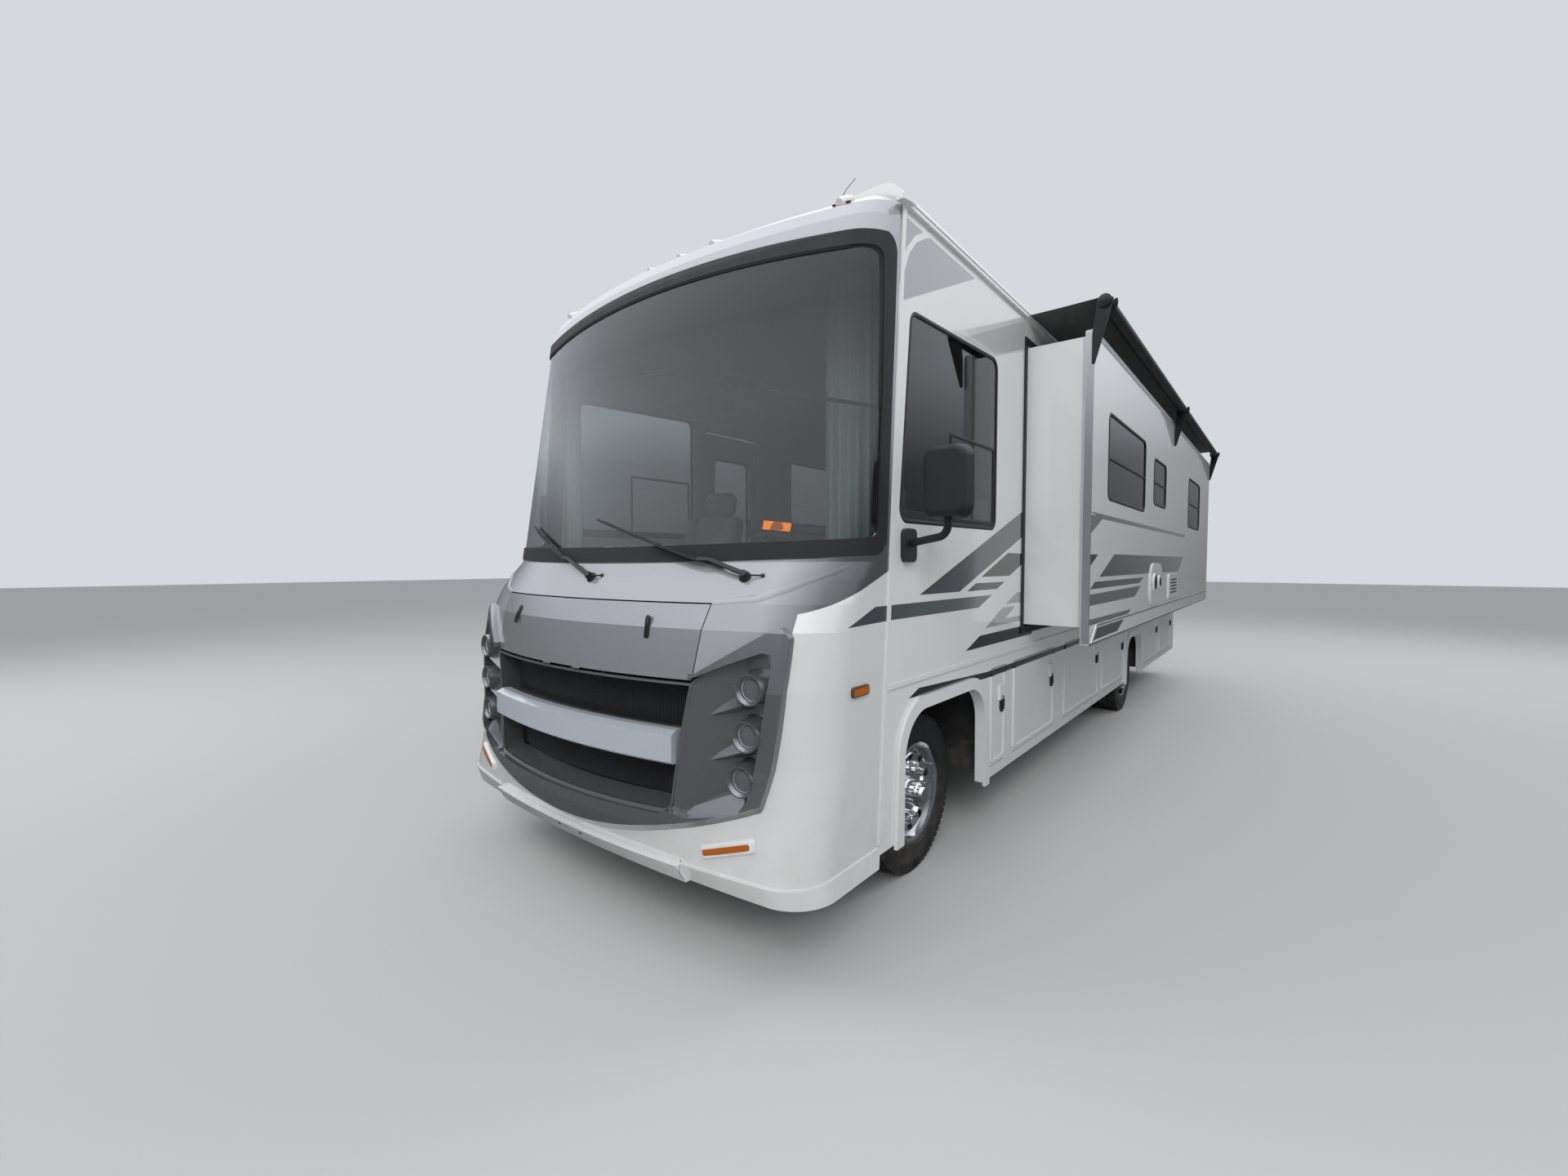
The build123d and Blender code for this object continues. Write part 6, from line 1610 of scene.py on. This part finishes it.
def makeSeats():
    # two captain's chairs: stuffed cushion with side bolsters, back, head pad and arm rests
    seat = {"across": 0.640, "y": -0.050, "crown": 0.018}
    y, crown = seat["y"], seat["crown"]
    for name, side in sides:
        x = side * seat["across"]
        base, back, frame, rests, posts = (bmesh.new() for _ in range(5))
        addPad(base, place(x, y - 0.02, 1.375), 2.0, (0.350, 0.490, 0.120), 0.045, crown)
        addPad(back, place(x, y + 0.255, 1.720), -15.0, (0.330, 0.110, 0.500), 0.045, crown)
        for way in (1, -1):
            spot = place(x + way * 0.205, y - 0.02, 1.385)
            addPad(base, spot, 2.0, (0.085, 0.490, 0.130), 0.040, 0.006, cuts=6)
            spot = place(x + way * 0.200, y + 0.240, 1.720)
            addPad(back, spot, -15.0, (0.090, 0.130, 0.500), 0.042, 0.006, cuts=6)
        addPad(back, place(x, y + 0.345, 2.060), -8.0, (0.270, 0.085, 0.160), 0.038, 0.012, cuts=6)
        for part, mesh in (("Cushion", base), ("Back", back)):
            item = addPiece(f"seat{part}{name}", mesh, "seatLeather", angle=80.0)
            if name == "Left" and part == "Cushion":
                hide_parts("cab_seats")
        addBox(frame, (x - 0.16, y - 0.17, 1.012), (x + 0.16, y + 0.17, 1.300), 0.012)
        addBox(frame, (x - 0.22, y - 0.22, 1.285), (x + 0.22, y + 0.22, 1.312), 0.006)
        addPiece(f"seatPedestal{name}", frame, "softBlack")
        for way in (1, -1):
            armX, postX = x + way * 0.275, x + way * 0.205
            addPad(rests, place(armX, y + 0.060, 1.570), 0.0, (0.062, 0.340, 0.055), 0.026, 0.003, cuts=5)
            addBox(posts, (armX - 0.012, y + 0.17, 1.40), (armX + 0.012, y + 0.21, 1.56), 0.004)
            addBox(posts, (armX, y + 0.17, 1.40), (x + way * 0.21, y + 0.21, 1.43), 0.004)
            addBox(posts, (postX - 0.012, y + 0.16, 1.30), (postX + 0.012, y + 0.20, 1.60), 0.004)
        item = addPiece(f"armRests{name}", rests, "seatLeather", angle=80.0)
        addPiece(f"seatPosts{name}", posts, "frameBlack")


makeBumperTrim()
makeCowlRidge()
makeCurtains()
makeSeats()
print("cab and bumper pieces made")


# Tyres and wheels

def treadNodes():
    # blocks stood round a circle, each turned to face out, at a set count, radius and size
    tree, given = newRepeat(
        "treadBlocks",
        Radius=0.41, Block_Length=0.02, Block_Width=0.02, Block_Height=0.008, Lean=0.2, Count=60,
    )
    ring = addNode(
        tree, "GeometryNodeMeshCircle", Vertices=given["Count"], Radius=given["Radius"],
    ).outputs[0]
    size = joinVector(tree, given["Block Height"], given["Block Length"], given["Block Width"])
    block = addNode(tree, "GeometryNodeMeshCube", Size=size).outputs[0]
    index = tree.nodes.new("GeometryNodeInputIndex").outputs[0]
    turn = mathNode(tree, "MULTIPLY", index, mathNode(tree, "DIVIDE", math.tau, given["Count"]))
    facing = joinVector(tree, given["Lean"], 0.0, turn)
    return endRepeat(tree, given, standOn(tree, ring, block, Rotation=facing))


tyre = {
    "half": 0.1215, "outer": 0.4188, "rim": 0.2495, "groove": 0.0045, "depth": 0.011, "blocks": 72,
    "segments": 88,
}


def tyreSection():
    # half width and radius round the tyre: tread with four grooves, shoulders, walls, beads, lining
    half, outer = tyre["half"], tyre["outer"]
    side = [
        (0.1000, outer - 0.004), (0.1065, outer - 0.012), (0.1090, outer - 0.020), (0.1125, 0.385),
        (0.1180, 0.362), (0.1192, 0.3605), (0.1192, 0.3570), (half, 0.335), (0.1205, 0.312),
        (0.1160, 0.290), (0.1165, 0.286), (0.1150, 0.282), (0.1055, 0.272), (0.0985, 0.262),
        (0.0960, tyre["rim"]),
    ]
    tread = []
    for at in (-0.070, -0.0275, 0.0275, 0.070):
        g, d = tyre["groove"], tyre["depth"]
        fall = 0.5 * (at / 0.1) ** 2 * 0.006
        tread += [
            (at - g - 0.001, outer - fall), (at - g, outer - fall - 0.001), (at - g * 0.6, outer - d),
            (at + g * 0.6, outer - d), (at + g, outer - fall - 0.001), (at + g + 0.001, outer - fall),
        ]
    lining = [
        (-0.086, tyre["rim"]), (-0.094, 0.275), (-0.108, 0.33), (-0.094, 0.392), (0.0, 0.401),
        (0.094, 0.392), (0.108, 0.33), (0.094, 0.275), (0.086, tyre["rim"]),
    ]
    return [(-u, r) for u, r in reversed(side)] + tread + side + list(reversed(lining))


def addTyre(mesh, centre):
    section = tyreSection()
    rings = []
    for i in range(tyre["segments"]):
        turn = math.tau * i / tyre["segments"]
        rings.append([centre + Vector((u, r * math.cos(turn), r * math.sin(turn))) for u, r in section])
    addRings(mesh, rings, closedAlong=True)


def makeTyres():
    tree = treadNodes()
    tread = {
        "Radius": tyre["outer"] - 0.0125, "Count": tyre["blocks"], "Lean": 0.0,
        "Block Length": 0.024, "Block Width": 0.0165, "Block Height": 0.020,
    }
    sets = (
        ("FrontLeft", "tyre_front_left", "wheel_front_left", (0.985,), 0.0),
        ("FrontRight", "tyre_front_right", "wheel_front_right", (-0.985,), 0.0),
        ("RearLeft", "tyres_rear_left", "wheels_rear_left", (0.788, 1.068), rearAxle),
        ("RearRight", "tyres_rear_right", "wheels_rear_right", (-0.788, -1.068), rearAxle),
    )
    for label, node, body, across, y in sets:
        mesh = bmesh.new()
        for x in across:
            addTyre(mesh, place(x, y, wheelHeight))
        item = addPiece(f"tyre{label}", mesh, "tyreRubber", body, angle=32.0)
        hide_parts(node)
        shoulder = 0
        for x in across:
            for way in (-1, 1):
                shoulder += 1
                blocks = applyNodes(
                    [(0, 0, 0)], [], tree, dict(tread), f"tread{label}{shoulder}", body, "tyreRubber",
                )
                stand = Matrix.Translation(place(x + way * 0.0995, y, wheelHeight))
                blocks.data.transform(stand @ Matrix.Rotation(math.pi / 2, 4, "Y"))


def makeValves():
    # valve stem of each visible wheel
    stem = [
        (0.0065, 0.0), (0.0065, 0.012), (0.004, 0.016), (0.004, 0.042), (0.0055, 0.043), (0.0055, 0.056),
        (0.001, 0.058),
    ]
    shift = Vector((0, 0.205 * math.cos(0.6), 0.205 * math.sin(0.6)))
    for axle, x, y in (("Front", 1.050, 0.0), ("Rear", 1.040, rearAxle)):
        for name, side in sides:
            body = f"wheel{'s' if axle == 'Rear' else ''}_{axle.lower()}_{name.lower()}"
            mesh = bmesh.new()
            addLathe(mesh, stem, place(side * x, y, wheelHeight) + shift, side * leftward, 12)
            addPiece(f"valve{axle}{name}", mesh, "aluminium", body)


makeTyres()
makeValves()
print("tyres made")


# Right side, rear and roof

def makeEntryFittings():
    # entry door's window frame and handle, and a grab bar on the wall
    mesh = bmesh.new()
    frameRing(mesh, boxCorners(0.850, 1.560, 1.290, 2.540), 0.06, -1, 1.2775, 0.018, 0.012)
    addBox(mesh, (-1.312, 1.300, 1.300), (-1.302, 1.372, 1.480), 0.003)
    addPiece("entryWindowFrame", mesh, "blackPlastic", "entry_door")
    handle = bmesh.new()
    for z in (1.345, 1.425):
        post = [(0.009, -0.001), (0.009, 0.014), (0.001, 0.015)]
        addLathe(handle, post, place(-1.311, 1.336, z), -leftward, 12)
    grip = [place(-1.324, 1.336, z) for z in (1.330, 1.385, 1.440)]
    addSweep(handle, grip, roundedBox(0.022, 0.012, 0.005, 2), up=leftward)
    addPiece("entryHandle", handle, "chrome", "entry_door")
    bar = bmesh.new()
    bend = [
        (-1.284, 1.280), (-1.335, 1.300), (-1.340, 1.335), (-1.340, 1.900), (-1.335, 1.935),
        (-1.284, 1.955),
    ]
    addSweep(bar, [place(x, 1.500, z) for x, z in bend], circle(0.013, 12), up=rearward)
    for z in (1.280, 1.955):
        flange = [(0.030, -0.001), (0.030, 0.004), (0.016, 0.008), (0.013, 0.008)]
        addLathe(bar, flange, place(-1.2825, 1.500, z), -leftward, 20)
    addPiece("grabBar", bar, "aluminium")


def makeRear():
    # red and clear lenses over the tail lamps, a blank plate and its holder, and the rear camera's hood
    red, clear, plate, blank, hood = (bmesh.new() for _ in range(5))
    for side in (1, -1):
        x = side * 1.090
        addBox(red, (x - 0.066, 7.940, 1.100), (x + 0.066, 7.950, 1.335), 0.003)
        for k in range(9):
            z = 1.112 + k * 0.026
            addBox(red, (x - 0.060, 7.949, z), (x + 0.060, 7.9525, z + 0.010), 0.001)
        addBox(clear, (x - 0.066, 7.940, 1.025), (x + 0.066, 7.950, 1.094), 0.003)
    addPiece("tailLenses", red, "redLens")
    addPiece("reverseLenses", clear, "clearPlastic")
    addBox(plate, (-0.165, 7.918, 0.770), (0.165, 7.926, 0.935), 0.003)
    addPiece("plateHolder", plate, "blackPlastic")
    addBox(blank, (-0.152, 7.9255, 0.777), (0.152, 7.928, 0.928), 0.001)
    for x in (-0.09, 0.09):
        screw = [(0.006, 0.0), (0.006, 0.003), (0.001, 0.004)]
        addLathe(blank, screw, place(x, 7.9275, 0.915), rearward, 10)
    addPiece("blankPlate", blank, "aluminium")
    addBox(hood, (-0.07, 7.915, 3.040), (0.07, 7.975, 3.100), 0.008)
    eye = [(0.018, 0.0), (0.018, 0.006), (0.012, 0.008), (0.001, 0.006)]
    addLathe(hood, eye, place(0.0, 7.972, 3.068), rearward, 18)
    addPiece("rearCamera", hood, "blackPlastic")


def makeRoofFittings():
    # louvres on the two coolers' ends
    mesh = bmesh.new()
    for y in (1.900, 5.700):
        for end in (-1, 1):
            face = y + end * 0.525
            for k in range(6):
                z = 3.395 + k * 0.034
                addBox(mesh, (-0.26, face, z), (0.26, face + end * 0.010, z + 0.014))
    addPiece("coolerLouvres", mesh, "softBlack")


makeEntryFittings()
makeRear()
makeRoofFittings()
print("rear, roof and door fittings made")
